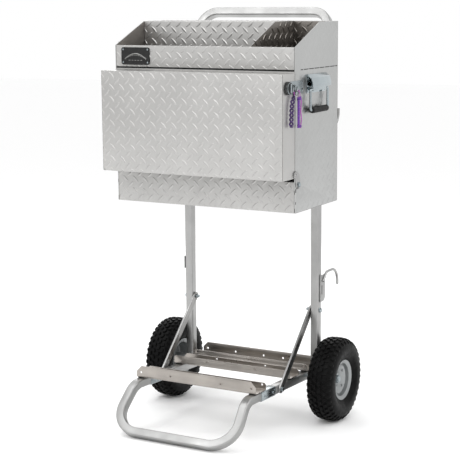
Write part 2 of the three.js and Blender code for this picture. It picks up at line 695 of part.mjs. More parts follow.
// ---------- side handles ----------
function handlePlate() {
  const { y, halfWidth, pivotX, pivotZ, rod } = SIDE_HANDLE;
  const wall = 2;
  const x = sideFace;
  const lip = pivotX + rod + 6;
  const profile = [
    [x, 1056], [x, 1004], [x + wall, 1004], [x + wall, 1052], [lip - 6, 1044], [lip - wall, 1030],
    [lip - wall, pivotZ + 5], [lip, pivotZ + 5], [lip, 1032], [lip - 4.5, 1046], [x + wall + 2, 1056],
  ];
  const shape = new THREE.Shape(profile.map(([px, pz]) => new THREE.Vector2(px, pz)));
  const length = 2 * (halfWidth + 4);
  const hood = new THREE.ExtrudeGeometry(shape, { depth: length, bevelEnabled: false });
  const toWorld = new THREE.Matrix4().set(1, 0, 0, 0, 0, 0, -1, y + length / 2, 0, 1, 0, 0, 0, 0, 0, 1);
  hood.applyMatrix4(toWorld);
  const boss = block(x + 1, pivotX + 3, y - halfWidth + 13, y + halfWidth - 13, pivotZ - 5, pivotZ + 5);
  return join(hood, boss);
}
addPair(tall, 'side_handle_plate', handlePlate(), chrome);

function handleBail() {
  const { y, halfWidth, pivotX, pivotZ, gripZ, rod } = SIDE_HANDLE;
  const inward = halfWidth - 13 - GAP;
  const corners = [
    point(pivotX, y - inward - 0.5, pivotZ),
    point(pivotX, y - halfWidth, pivotZ),
    point(pivotX, y - halfWidth, gripZ),
    point(pivotX, y + halfWidth, gripZ),
    point(pivotX, y + halfWidth, pivotZ),
    point(pivotX, y + inward + 0.5, pivotZ),
  ];
  return sweep(circle(rod, 10), new BentPath(corners, [5, 7, 7, 5], 4));
}
addPair(tall, 'side_handle_bail', handleBail(), zinc);

function handleGrip() {
  const { y, halfWidth, pivotX, gripZ, rod, grip } = SIDE_HANDLE;
  const reach = halfWidth - 8;
  const sleeveBar = barY(grip, y - reach, y + reach, pivotX, gripZ, 20);
  return cut(sleeveBar, barY(rod + GAP, y - reach - 5, y + reach + 5, pivotX, gripZ, 12));
}
addPair(tall, 'side_handle_grip', handleGrip(), rubber);

// ---------- name plate ----------
function namePlate() {
  const width = 96;
  const height = 50;
  const corner = 7;
  const shape = new THREE.Shape();
  const x = width / 2 - corner;
  const z = height / 2 - corner;
  shape.absarc(x, z, corner, 0, Math.PI / 2, false);
  shape.absarc(-x, z, corner, Math.PI / 2, Math.PI, false);
  shape.absarc(-x, -z, corner, Math.PI, 1.5 * Math.PI, false);
  shape.absarc(x, -z, corner, 1.5 * Math.PI, 2 * Math.PI, false);
  const plate = new THREE.ExtrudeGeometry(shape, { depth: 2, bevelEnabled: false, curveSegments: 4 });
  return plate.rotateX(Math.PI / 2).translate(-221.5, BOX_FRONT - GAP, 1101.6);
}
add(tall, 'name_plate', namePlate(), namePaint);

export default object;
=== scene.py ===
"""Looks for the tread-plate show box on a two-wheeled hand cart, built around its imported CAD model.

Builders work in millimetres in one of two frames, both counted from the axle: LEVEL for the base, and
LEANING for the uprights and the box, where heights run along the uprights from FOOT_DEPTH under the axle.
"""
import json
from math import atan2, cos, pi, radians, sin, sqrt, tan

import bmesh
import bpy
from mathutils import Matrix, Vector


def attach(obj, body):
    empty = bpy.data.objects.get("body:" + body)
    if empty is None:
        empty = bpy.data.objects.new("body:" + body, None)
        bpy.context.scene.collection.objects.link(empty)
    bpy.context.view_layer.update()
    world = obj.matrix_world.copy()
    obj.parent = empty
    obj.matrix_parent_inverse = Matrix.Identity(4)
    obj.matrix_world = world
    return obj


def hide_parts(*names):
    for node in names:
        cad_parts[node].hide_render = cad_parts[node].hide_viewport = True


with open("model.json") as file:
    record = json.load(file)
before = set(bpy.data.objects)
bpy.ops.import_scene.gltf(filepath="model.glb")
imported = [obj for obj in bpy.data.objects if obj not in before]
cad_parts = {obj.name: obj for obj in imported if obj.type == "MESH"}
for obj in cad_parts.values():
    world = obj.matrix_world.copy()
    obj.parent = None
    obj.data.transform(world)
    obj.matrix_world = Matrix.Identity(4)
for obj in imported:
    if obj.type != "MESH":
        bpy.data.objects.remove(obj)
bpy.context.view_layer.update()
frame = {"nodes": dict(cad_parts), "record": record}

JOINTS = {joint["name"]: joint for joint in frame["record"]["behaviour"]["joints"]}
AXLE = Vector(JOINTS["wheel_spin_left"]["pos_m"])
SWING = JOINTS["side_handle_left_swing"]["axis"]
LEAN = atan2(SWING[2], SWING[1])
FOOT_DEPTH = 0.131
MM = Matrix.Scale(0.001, 4)
LEVEL = Matrix.Translation(AXLE) @ MM
LEANING = (
    Matrix.Translation(AXLE)
    @ Matrix.Rotation(LEAN, 4, "X")
    @ Matrix.Translation((0, 0, -FOOT_DEPTH))
    @ MM
)
CART = "cart_and_box"


def link(made):
    bpy.context.scene.collection.objects.link(made)
    return made


def round_angles(count):
    return [2 * pi * k / count for k in range(count)]


# ---- camera ----
LENS = 105.2
CAMERA_FROM_AXLE = Vector((1.9085, -3.6265, 0.9709))
CAMERA_BACK = Vector((0.47768, -0.86870, 0.13110)).normalized()
CAMERA_RIGHT = Vector((0.87516, 0.48358, 0.01553)).normalized()


def add_camera():
    data = bpy.data.cameras.new("camera")
    data.sensor_width = 36
    data.lens = LENS
    data.clip_end = 50
    camera = link(bpy.data.objects.new("camera", data))
    place = Matrix((CAMERA_RIGHT, CAMERA_BACK.cross(CAMERA_RIGHT), CAMERA_BACK)).transposed().to_4x4()
    place.translation = AXLE + CAMERA_FROM_AXLE
    camera.matrix_world = place
    bpy.context.scene.camera = camera


add_camera()


# ---- materials ----
class Material:
    """A Principled material with small helpers for procedural detail, in object space."""

    def __init__(self, name, color, roughness, metallic=0.0):
        self.material = bpy.data.materials.new(name)
        self.material.use_nodes = True
        self.nodes = self.material.node_tree.nodes
        self.links = self.material.node_tree.links
        self.shader = self.nodes["Principled BSDF"]
        self.set("Base Color", (*color, 1))
        self.set("Roughness", roughness)
        self.set("Metallic", metallic)
        self.coordinates = self.nodes.new("ShaderNodeTexCoord").outputs["Object"]
        self.normal = None

    def set(self, socket, value):
        self.shader.inputs[socket].default_value = value

    def add(self, kind, values, sources):
        """A new node with its inputs set to values or linked to sources."""
        node = self.nodes.new("ShaderNode" + kind)
        for socket, value in values.items():
            node.inputs[socket].default_value = value
        for socket, source in sources.items():
            self.links.new(source, node.inputs[socket])
        return node

    def noise(self, scale, detail, stretch=(1, 1, 1)):
        mapping = self.add("Mapping", {"Scale": stretch}, {"Vector": self.coordinates})
        values = {"Scale": scale, "Detail": detail}
        return self.add("TexNoise", values, {"Vector": mapping.outputs["Vector"]}).outputs["Fac"]

    def color(self, factor, *stops):
        """Blends between a first and a last (position, colour)."""
        node = self.add("ValToRGB", {}, {"Fac": factor})
        for element, (position, color) in zip(node.color_ramp.elements, stops):
            element.position = position
            element.color = (*color, 1)
        self.links.new(node.outputs["Color"], self.shader.inputs["Base Color"])

    def roughness(self, factor, low, high):
        values = {"From Min": 0.3, "From Max": 0.7, "To Min": low, "To Max": high}
        node = self.add("MapRange", values, {"Value": factor})
        self.links.new(node.outputs["Result"], self.shader.inputs["Roughness"])

    def add_bump(self, height, strength, distance):
        """Adds relief on top of any earlier one."""
        sources = {"Height": height, **({"Normal": self.normal} if self.normal else {})}
        node = self.add("Bump", {"Strength": strength, "Distance": distance}, sources)
        self.normal = node.outputs["Normal"]
        self.links.new(self.normal, self.shader.inputs["Normal"])


def grey(value, tint=(1, 1, 1)):
    return tuple(value * channel for channel in tint)


def brushed(name, low, high, tint, roughness, stretch=(1, 1, 1), metallic=1.0, scratch=0.12):
    made = Material(name, grey(high, tint), roughness[0], metallic)
    made.color(made.noise(9, 4), (0.3, grey(low, tint)), (0.7, grey(high, tint)))
    made.roughness(made.noise(22, 5), *roughness)
    made.add_bump(made.noise(420, 2, stretch), scratch, 0.0002)
    return made.material


def plate(name, low, high, tint, roughness, dents=0.16):
    made = Material(name, grey(high, tint), roughness[0], 1.0)
    made.color(made.noise(5, 5), (0.32, grey(low, tint)), (0.68, grey(high, tint)))
    made.roughness(made.noise(30, 6), *roughness)
    made.add_bump(made.noise(7, 2), dents, 0.004)
    made.add_bump(made.noise(500, 2), 0.1, 0.0002)
    return made.material


def rubber(name, dark, light, roughness, shine=0.35):
    made = Material(name, grey(light), roughness[0])
    made.set("Specular IOR Level", shine)
    made.color(made.noise(60, 6), (0.35, grey(dark)), (0.7, grey(light)))
    made.roughness(made.noise(90, 4), *roughness)
    made.add_bump(made.noise(900, 3), 0.3, 0.0003)
    return made.material


def woven(name, dark, light):
    made = Material(name, light, 0.75)
    made.set("Sheen Weight", 0.4)
    made.color(made.noise(160, 4, (1, 1, 3)), (0.35, dark), (0.65, light))
    made.add_bump(made.noise(1400, 2), 0.5, 0.0004)
    return made.material


WARM = (1.0, 0.99, 0.97)
COOL = (0.95, 0.99, 1.0)
BLUISH = (0.86, 0.96, 1.0)
BROWN = (1.0, 0.93, 0.86)
FRONT_PLATE = plate("tread_plate_front", 0.45, 0.51, WARM, (0.38, 0.50), dents=0.07)
LOWER_PLATE = plate("tread_plate_lower", 0.41, 0.48, WARM, (0.38, 0.50), dents=0.07)
SIDE_PLATE = plate("tread_plate_side", 0.43, 0.47, (0.99, 1.0, 0.99), (0.28, 0.38), dents=0.08)
INNER_PLATE = plate("tread_plate_inner", 0.42, 0.52, WARM, (0.36, 0.48), dents=0.1)
# Painted shade: a darker, browner copy of the tread plate for faces inside the bins that lie in shade.
SHADED_PLATE = plate("tread_plate_shaded", 0.17, 0.25, BROWN, (0.32, 0.44))
TUBE = brushed("tube_aluminium", 0.32, 0.41, (1.0, 1.0, 0.99), (0.28, 0.44), (1, 1, 0.02))
# Painted shade for the braces' broad faces; also the name plate ornament's own dark metal.
BRACE_SHADE_AND_ORNAMENT = brushed("brace_shade_and_ornament", 0.21, 0.32, WARM, (0.22, 0.36), (1, 1, 0.1))
STEEL = brushed("stainless_channel", 0.30, 0.42, BROWN, (0.26, 0.42), (0.02, 1, 1))
ZINC = brushed("zinc_plate", 0.32, 0.46, BLUISH, (0.2, 0.36))
CHROME = brushed("chrome", 0.38, 0.52, BLUISH, (0.06, 0.14), scratch=0.03)
RIM = brushed("rim_paint", 0.27, 0.36, COOL, (0.3, 0.45), metallic=0.5)
DARK_STEEL = brushed("dark_steel", 0.03, 0.07, COOL, (0.22, 0.36), metallic=0.8)
TYRE = rubber("tyre_rubber", 0.0015, 0.004, (0.40, 0.58), 0.1)
BLACK = rubber("black_rubber", 0.004, 0.010, (0.5, 0.7))
# Painted shadow for the dark gaps under the tray, in the sides' slit and by the door's foot.
PAINTED_GAP_SHADOW = rubber("seam_shadow", 0.010, 0.030, (0.6, 0.8), 0.1)
# Dark joints down the box's corners; also painted shade along the door's edges.
JOINT_AND_SHADE = brushed("dark_joint_and_shade", 0.05, 0.12, BROWN, (0.4, 0.6), metallic=0.6)
BRAID = woven("purple_braid", (0.012, 0.002, 0.035), (0.05, 0.01, 0.12))
RIBBON = woven("violet_ribbon", (0.06, 0.008, 0.17), (0.16, 0.03, 0.36))
THREAD = woven("magenta_thread", (0.20, 0.025, 0.22), (0.40, 0.07, 0.40))


def name_plate_paint():
    made = Material("name_plate_black", grey(0.012), 0.3)
    made.set("Coat Weight", 0.1)
    made.set("Specular IOR Level", 0.3)
    made.color(made.noise(80, 4), (0.3, grey(0.006)), (0.7, grey(0.015)))
    made.roughness(made.noise(60, 4), 0.28, 0.42)
    return made.material


NAME_BLACK = name_plate_paint()


# ---- mesh helpers ----
def loose_object(name, mesh):
    """Puts a bmesh into the scene as an object."""
    data = bpy.data.meshes.new(name)
    mesh.to_mesh(data)
    mesh.free()
    return link(bpy.data.objects.new(name, data))


def emit(name, mesh, slot_shadow, material, replaces=(), place=LEANING, body=CART, sharp=32):
    """Turns a bmesh into a piece that rides on a body. Materials may be a list, by face index."""
    mesh.transform(place)
    bmesh.ops.recalc_face_normals(mesh, faces=mesh.faces)
    piece = loose_object(name, mesh)
    for one in material if isinstance(material, list) else [material]:
        piece.data.materials.append(one)
    piece.data.polygons.foreach_set("use_smooth", [True] * len(piece.data.polygons))
    piece.data.set_sharp_from_angle(angle=radians(sharp))
    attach(piece, body)
    if replaces:
        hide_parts(*replaces)
    return piece


def soften(mesh, width, angle, segments=2):
    """Rounds every edge sharper than the angle."""
    mesh.normal_update()
    limit = radians(angle)
    edges = [e for e in mesh.edges if len(e.link_faces) == 2 and e.calc_face_angle(0) > limit]
    bmesh.ops.bevel(mesh, geom=edges, offset=width, segments=segments, affect="EDGES", profile=0.6,
                    clamp_overlap=True)


def make_whole(mesh, distance):
    """Welds near points and makes flat faces whole."""
    bmesh.ops.remove_doubles(mesh, verts=mesh.verts, dist=distance)
    bmesh.ops.dissolve_limit(mesh, angle_limit=radians(1), verts=mesh.verts, edges=mesh.edges)


def cad_mesh(node, place=LEANING):
    """A copy of a CAD node in the millimetres of a frame."""
    mesh = bmesh.new()
    mesh.from_mesh(frame["nodes"][node].data)
    mesh.transform(place.inverted())
    make_whole(mesh, 0.02)
    return mesh


def cad_points(node, place):
    inverse = place.inverted()
    return [inverse @ v.co for v in frame["nodes"][node].data.vertices]


def cad_box(node, place=LEANING):
    """Lowest and highest corner of a CAD node in the millimetres of a frame."""
    points = cad_points(node, place)
    return [Vector([pick(p[i] for p in points) for i in range(3)]) for pick in (min, max)]


def centre_line(low, high, axis="X"):
    """Middle of a box, at 0 along the axis."""
    centre = (low + high) / 2
    centre["XYZ".index(axis)] = 0
    return centre


def block(mesh, corner, opposite, rounding, segments=2):
    """A box between two corners with rounded edges."""
    made = bmesh.ops.create_cube(mesh, size=1)["verts"]
    low = Vector([min(pair) for pair in zip(corner, opposite)])
    high = Vector([max(pair) for pair in zip(corner, opposite)])
    size = high - low
    for vert in made:
        vert.co = (low + high) / 2 + Vector([vert.co[i] * size[i] for i in range(3)])
    edges = list({e for v in made for e in v.link_edges})
    bmesh.ops.bevel(mesh, geom=edges, offset=rounding, segments=segments, affect="EDGES", profile=0.5)


def emit_block(name, corner, opposite, rounding, *options, **more):
    mesh = bmesh.new()
    block(mesh, corner, opposite, rounding)
    emit(name, mesh, *options, **more)


def ring_faces(mesh, rings, closed_ring=True, loop=False):
    """Skins a list of vertex rings; loop joins the last ring to the first in place of two end caps."""
    count = len(rings[0])
    for first, second in zip(rings, rings[1:] + ([rings[0]] if loop else [])):
        for i in range(count if closed_ring else count - 1):
            j = (i + 1) % count
            mesh.faces.new((first[i], first[j], second[j], second[i]))
    if not loop:
        mesh.faces.new(rings[0][::-1])
        mesh.faces.new(rings[-1])


def slab(mesh, outline, start, end):
    """A solid between two x with an outline in (y, z)."""
    ring_faces(mesh, [[mesh.verts.new((x, y, z)) for y, z in outline] for x in (start, end)])


def along_axis(axis, centre, along, u, v):
    return Vector(centre) + Vector({"X": (along, u, v), "Y": (v, along, u), "Z": (u, v, along)}[axis])


def turned(mesh, profile, segments, centre=(0, 0, 0), axis="X", closed=True):
    """Turns (radius, along) points about an axis; a closed profile makes a ring."""
    rings = []
    for c, s in circle(1, segments):
        rings.append([mesh.verts.new(along_axis(axis, centre, along, radius * c, radius * s))
                      for radius, along in profile])
    ring_faces(mesh, rings, closed_ring=closed, loop=True)
    if not closed:
        mesh.faces.new([ring[0] for ring in reversed(rings)])
        mesh.faces.new([ring[-1] for ring in rings])


def cylinder(mesh, radius, start, end, centre, axis="X", segments=32, chamfer=0.0):
    """A bar along an axis with chamfered ends."""
    start, end = sorted((start, end))
    profile = [(radius, start), (radius, end)]
    if chamfer:
        profile = [(radius - chamfer, start), (radius, start + chamfer), (radius, end - chamfer),
                   (radius - chamfer, end)]
    turned(mesh, profile, segments, centre, axis, closed=False)


def rounded_rectangle(width, height, radius):
    points = []
    steps = 6
    for right, up, start in ((1, 1, 0), (-1, 1, 90), (-1, -1, 180), (1, -1, 270)):
        for i in range(steps + 1):
            angle = radians(start + 90 * i / steps)
            points.append((right * (width / 2 - radius) + radius * cos(angle),
                           up * (height / 2 - radius) + radius * sin(angle)))
    return points


def oval(reach, rise, sides, centre=(0, 0)):
    return [(centre[0] + reach * cos(t), centre[1] + rise * sin(t)) for t in round_angles(sides)]


def circle(radius, sides):
    return oval(radius, radius, sides)


def bent_path(corners, radii, steps=14):
    """Points along straight runs joined by round bends."""
    corners = [Vector(c) for c in corners]
    points = [corners[0]]
    for before, corner, after, radius in zip(corners, corners[1:], corners[2:], radii):
        inward = (before - corner).normalized()
        outward = (after - corner).normalized()
        half = inward.angle(outward) / 2
        centre = corner + (inward + outward).normalized() * (radius / sin(half))
        start = corner + inward * (radius / tan(half)) - centre
        end = corner + outward * (radius / tan(half)) - centre
        sweep = start.angle(end)
        for i in range(steps + 1):
            turn = sweep * i / steps
            points.append(centre + (start * sin(sweep - turn) + end * sin(turn)) / sin(sweep))
    points.append(corners[-1])
    return points


def frames_along(points, first_side):
    """Each point with two sides across the path, turned as little as possible along the way."""
    side = Vector(first_side)
    result = []
    for i, point in enumerate(points):
        before, after = points[max(i - 1, 0)], points[min(i + 1, len(points) - 1)]
        direction = ((point - before).normalized() + (after - point).normalized()).normalized()
        side = (side - direction * side.dot(direction)).normalized()
        result.append((point, side, direction.cross(side)))
    return result


def sweep(mesh, points, section, first_side=(1, 0, 0)):
    rings = []
    for point, side, other in frames_along([Vector(p) for p in points], first_side):
        rings.append([mesh.verts.new(point + side * x + other * y) for x, y in section])
    ring_faces(mesh, rings)


def hexagon(mesh, across, start, end, centre, axis="X"):
    """A hexagonal head or nut with the rounded corners of a real one."""
    radius = across / sqrt(3)
    low, high = sorted((start, end))
    side = pi / 3
    rings = []
    for along, inset in ((low, 0.9), (low + 0.6, 1.0), (high - 0.8, 1.0), (high, 0.9)):
        ring = []
        for angle in round_angles(24):
            reach = radius * cos(side / 2) / cos((angle + side / 2) % side - side / 2)
            if inset < 1:
                reach = min(reach, radius * inset * 0.97)
            spot = along_axis(axis, centre, along, reach * cos(angle), reach * sin(angle))
            ring.append(mesh.verts.new(spot))
        rings.append(ring)
    ring_faces(mesh, rings)


SIDES = (("left", -1), ("right", 1))


def on_side(place, sign):
    """A frame as it is for the right side, and mirrored for the left one."""
    return place if sign > 0 else place @ Matrix.Scale(-1, 4, (1, 0, 0))


# ---- tread lugs ----
PITCH = 34.4
LUG_LENGTH = 28.0
LUG_WIDTH = 8.4
LUG_FADE = 4.0
LUG_POINTS = 12
LUG_OVERHANG = 6
LUG_BORDER = 0.4
SHORTEST_LUG = 3
LUG = [(x * LUG_LENGTH / 2, y * (1 - 0.25 * x * x) * LUG_WIDTH / 2) for x, y in circle(1, LUG_POINTS)]


def lug_spots(width, height, phase, keep):
    """The middle of each lug on a rectangle, and the way it slants."""
    for shift, slant in ((0, -1), (0.5, 1)):
        for i in range(-1, int(width / PITCH) + 3):
            for j in range(-1, int(height / PITCH) + 3):
                x, y = ((n + shift + start - 0.5) * PITCH for n, start in zip((i, j), phase))
                beyond = max(-x, x - width, -y, y - height)
                if beyond < LUG_OVERHANG and keep(x, y):
                    yield x, y, slant


def add_lugs(mesh, origin, right, width, height, up=(0, 0, 1), rise=1.1, phase=(0.5, 0.5),
             keep=lambda x, y: True, material=0):
    """Raised lugs at alternating diagonals over a rectangle; they flatten out at its border."""
    origin, right, up = Vector(origin), Vector(right), Vector(up)
    for cx, cy, slant in lug_spots(width, height, phase, keep):
        rings = []
        for length, breadth, level in ((1, 1, -0.2), (0.92, 0.72, rise * 0.55), (0.74, 0.28, rise)):
            ring = []
            for along, across in LUG:
                a, b = along * length * sqrt(0.5), across * breadth * sqrt(0.5)
                x = min(max(cx + a - slant * b, LUG_BORDER), width - LUG_BORDER)
                y = min(max(cy + slant * a + b, LUG_BORDER), height - LUG_BORDER)
                fade = min(min(x, width - x, y, height - y) / LUG_FADE, 1)
                lift = level * fade if level > 0 else level
                ring.append(mesh.verts.new(origin + right * x + up * y + right.cross(up) * lift))
            rings.append(ring)
        if (rings[0][0].co - rings[0][LUG_POINTS // 2].co).length < SHORTEST_LUG:
            bmesh.ops.delete(mesh, geom=[vert for ring in rings for vert in ring], context="VERTS")
            continue
        for first, second in zip(rings, rings[1:]):
            for k in range(LUG_POINTS):
                n = (k + 1) % LUG_POINTS
                mesh.faces.new((first[k], first[n], second[n], second[k])).material_index = material
        mesh.faces.new(rings[-1]).material_index = material


# ---- lanyards ----
RIBBON_X = 300
CORD_POINTS = 110
BRAID_ROUTE = ((-314, 1003), (-322, 990), (-327, 975), (-329, 950), (-331, 920))
RIBBON_ROUTE = ((-286, 1018), (-283, 1005), (-281, 985), (-280, 950), (-281, 914))
WIDTHWAYS = Vector((0.75, 0.66, 0))
DEPTHWAYS = Vector((0.66, -0.75, 0))


def smooth_route(route):
    """Evenly spaced points on a smooth curve through a route, in leaning millimetres."""
    knots = [Vector((RIBBON_X, y, z)) for y, z in route]
    knots = [2 * knots[0] - knots[1]] + knots + [2 * knots[-1] - knots[-2]]
    dense = []
    for a, b, c, d in zip(knots, knots[1:], knots[2:], knots[3:]):
        for i in range(20):
            t = i / 20
            dense.append(0.5 * (2 * b + (c - a) * t + (2 * a - 5 * b + 4 * c - d) * t * t
                                + (3 * b - a - 3 * c + d) * t ** 3))
    dense.append(knots[-2])
    spacing = sum((q - p).length for p, q in zip(dense, dense[1:])) / (CORD_POINTS - 1)
    points, walked, target = [dense[0]], 0.0, spacing
    for p, q in zip(dense, dense[1:]):
        step = (q - p).length
        while walked + step >= target - 1e-6 and len(points) < CORD_POINTS:
            points.append(p.lerp(q, min((target - walked) / step, 1)))
            target += spacing
        walked += step
    return points


def strand(mesh, points, shift, section, material=0):
    """A strand along the points; shift gives its offsets sideways and outward from 0 at the top to 1."""
    last = len(points) - 1
    centres = []
    for i, (point, side, other) in enumerate(frames_along(points, WIDTHWAYS)):
        across, outward = shift(i / last)
        centres.append(point + side * across + other * outward)
    before = len(mesh.faces)
    sweep(mesh, centres, section, WIDTHWAYS)
    mesh.faces.ensure_lookup_table()
    for face in mesh.faces[before:]:
        face.material_index = material


def wrap(mesh, centre, wide, deep, thick, tilt):
    """One turn of cord round a lanyard, tilted as in a knot."""
    rings = []
    for c, s in circle(1, 28):
        ring = []
        for reach, rise in circle(thick, 8):
            spot = WIDTHWAYS * (c * (wide + reach)) + DEPTHWAYS * (s * (deep + reach))
            spot.z = rise + tilt * c * wide
            ring.append(mesh.verts.new(centre + spot))
        rings.append(ring)
    ring_faces(mesh, rings, loop=True)


def add_lanyards():
    points = smooth_route(BRAID_ROUTE)
    mesh = bmesh.new()
    turns = 3.6

    def plait(phase):
        def shift(t):
            angle = 2 * pi * turns * t + phase
            flare = min(1, 0.35 + 6 * t) * (1 + 1.6 * max(0, t - 0.86))
            return 4.2 * flare * sin(angle), 1.8 * cos(angle)
        return shift

    for k in range(2):
        strand(mesh, points, plait(pi * k), circle(2.5, 12))
    wrap(mesh, points[6], 3.6, 3.0, 1.4, 0.2)
    wrap(mesh, points[-9], 4.2, 3.4, 1.3, -0.2)
    braid = emit("braided_lanyard_strands", mesh, "braid_purple", BRAID, ["braided_lanyard"], sharp=80)
    mesh = bmesh.new()
    top = [Vector((RIBBON_X - 1.5, -312, 1014)), Vector((RIBBON_X, -312.5, 1008)), points[6]]
    for way in (-1, 1):
        strand(mesh, top, lambda t, way=way: (1.3 * way * (1 - t), 0), circle(0.8, 10))
    thread = emit("braided_lanyard_thread", mesh, "braid_purple", THREAD, sharp=80)

    points = smooth_route(RIBBON_ROUTE)
    mesh = bmesh.new()
    knot = 22
    strand(mesh, points[knot:], lambda t: (-2.4, 0.5 * sin(9 * t)), oval(3.64, 1.736, 16))
    strand(mesh, points[knot:], lambda t: (4.2 + 0.7 * sin(11 * t), 0.4 * cos(8 * t)),
           oval(1.7, 1.19, 16), 1)
    for way in (-1, 1):
        strand(mesh, points[:knot + 6], lambda t, way=way: (2.4 * way * sin(3 * t), 0.6 * way),
               circle(1.1, 10), 1)
    for step, tilt in ((0, 0.25), (3, -0.2), (6, 0.15)):
        wrap(mesh, points[knot + step], 5.6, 2.6, 1.5, tilt)
    for step, tilt in ((4, 0.1), (8, -0.1)):
        wrap(mesh, points[-step], 5.4, 2.0, 1.4, tilt)
    ribbon = emit("ribbon_lanyard_strands", mesh, "ribbon_violet", [RIBBON, THREAD], ["ribbon_lanyard"],
                  sharp=80)


add_lanyards()

# ---- upper frame, rails and toe loop ----
TUBE_SIZE = 25.4
TUBE_SECTION = rounded_rectangle(TUBE_SIZE, TUBE_SIZE, 4.2)
UPRIGHT_Y = 2.0
PUSH_BAR_BEND = 1010.0
PUSH_BAR_TOP = 1220.4
PUSH_BAR_RAKE = radians(25)
TOE_HALF_WIDTHS = (185.3, 197.6)
TOE_BEND_Y = -385
TOE_FRONT_Y = -483


def add_bent_tube(name, node, half, radii, place):
    """A square tube with the same bends on both sides, from one half of its corners and radii."""
    corners = half + [(-x, y, z) for x, y, z in reversed(half)]
    mesh = bmesh.new()
    sweep(mesh, bent_path(corners, radii + radii[::-1]), TUBE_SECTION)
    emit(name, mesh, "tube_aluminium", TUBE, [node], place=place)


def add_upper_frame():
    low, high = cad_box("upper_frame_loop")
    x, y = high.x - TUBE_SIZE / 2, UPRIGHT_Y
    back = y + (PUSH_BAR_TOP - PUSH_BAR_BEND) * tan(PUSH_BAR_RAKE)
    half = [(x, y, low.z), (x, y, PUSH_BAR_BEND), (x, back, PUSH_BAR_TOP)]
    add_bent_tube("push_bar_tube", "upper_frame_loop", half, [80, 55], LEANING)
    mesh = bmesh.new()
    plug = 11.5
    for sign in (-1, 1):
        block(mesh, (sign * x - plug, y - plug, low.z - 2.2), (sign * x + plug, y + plug, low.z + 1), 1.2)
    emit("upright_foot_plugs", mesh, "pad_rubber", BLACK)


def add_base():
    for side, sign in SIDES:
        low, high = cad_box(f"base_rail_{side}", LEVEL)
        x = (low.x + high.x) / 2
        mesh = bmesh.new()
        sweep(mesh, [(x, low.y, 0), (x, high.y, 0)], TUBE_SECTION)
        soften(mesh, 0.5, 60)
        emit(f"rail_tube_{side}", mesh, "tube_aluminium", TUBE, [f"base_rail_{side}"], place=LEVEL)
        emit_block(f"rail_plug_{side}", (x - 11, high.y - 1, -11), (x + 11, high.y + 2, 11), 1.4,
                   "pad_rubber", BLACK, place=LEVEL)
        low, high = cad_box(f"coupling_sleeve_{side}", LEVEL)
        width = high.x - low.x
        mesh = bmesh.new()
        sweep(mesh, [(x, low.y, 0), (x, high.y, 0)], rounded_rectangle(width, width, 5.6))
        soften(mesh, 0.7, 60)
        outer = high.x if sign > 0 else low.x
        for y in (low.y + 18, high.y - 18):
            cylinder(mesh, 3.6, outer - sign * 0.5, outer + sign * 2.0, (0, y, 0), "X", 20, 0.8)
        emit(f"coupling_sleeve_body_{side}", mesh, "zinc", ZINC, [f"coupling_sleeve_{side}"], place=LEVEL)
    low, high = cad_box("toe_loop", LEVEL)
    inner, outer = TOE_HALF_WIDTHS
    half = [(inner, high.y, 0), (inner, TOE_BEND_Y, 0), (outer, TOE_FRONT_Y, low.z + 15.87)]
    add_bent_tube("toe_loop_tube", "toe_loop", half, [60, 74], LEVEL)


add_upper_frame()
add_base()


# ---- braces, bolts and axle ----
BOLT_RADIUS = 4
BOLT_ACROSS = 11.3
BOLT_HEIGHT = 5.5


def add_braces():
    for side, _ in SIDES:
        mesh = cad_mesh(f"brace_{side}", LEVEL)
        soften(mesh, 0.7, 40)
        mesh.normal_update()
        # Painted shade: the broad faces, turned sideways, take the darker second material; the narrow edges
        # keep the tube metal.
        for face in mesh.faces:
            face.material_index = int(abs(face.normal.x) > 0.9)
        emit(f"brace_bar_{side}", mesh, "tube_aluminium", [TUBE, BRACE_SHADE_AND_ORNAMENT], [f"brace_{side}"], place=LEVEL)


def bolt_x(name, node, place, sign):
    """A hexagon bolt along x with its washer, a nut and threads at the far end."""
    low, high = cad_box(node, place)
    centre = centre_line(low, high)
    outer, inner = (high.x, low.x) if sign > 0 else (low.x, high.x)
    head = outer - sign * BOLT_HEIGHT
    nut = inner + sign * 11
    mesh = bmesh.new()
    hexagon(mesh, BOLT_ACROSS, head, outer, centre)
    cylinder(mesh, 7.6, head - sign * 0.1, head + sign * 1.2, centre, "X", 32, 0.2)
    cylinder(mesh, BOLT_RADIUS, inner + sign * 1, head, centre, "X", 20)
    hexagon(mesh, BOLT_ACROSS, nut, nut - sign * BOLT_HEIGHT, centre)
    for k in range(4):
        x = inner + sign * (0.6 + 1.25 * k)
        cylinder(mesh, BOLT_RADIUS + 0.25, x, x + sign * 0.7, centre, "X", 20, 0.2)
    emit(name, mesh, "zinc", ZINC, [node], place=place)


def add_bolts():
    for side, sign in SIDES:
        bolt_x(f"brace_bolt_upper_hex_{side}", f"brace_bolt_upper_{side}", LEANING, sign)
        bolt_x(f"brace_bolt_lower_hex_{side}", f"brace_bolt_lower_{side}", LEVEL, sign)
        for level in ("upper", "lower"):
            node = f"box_bolt_{level}_{side}"
            low, high = cad_box(node)
            centre = centre_line(low, high, "Y")
            mesh = bmesh.new()
            cylinder(mesh, 7.5, low.y, low.y + 3, centre, "Y", 32, 1.2)
            cylinder(mesh, BOLT_RADIUS, low.y + 2, high.y, centre, "Y", 20, 0.5)
            hexagon(mesh, BOLT_ACROSS, high.y - 7.2, high.y - 1.6, centre, "Y")
            emit(f"{node}_hex", mesh, "zinc", ZINC, [node])


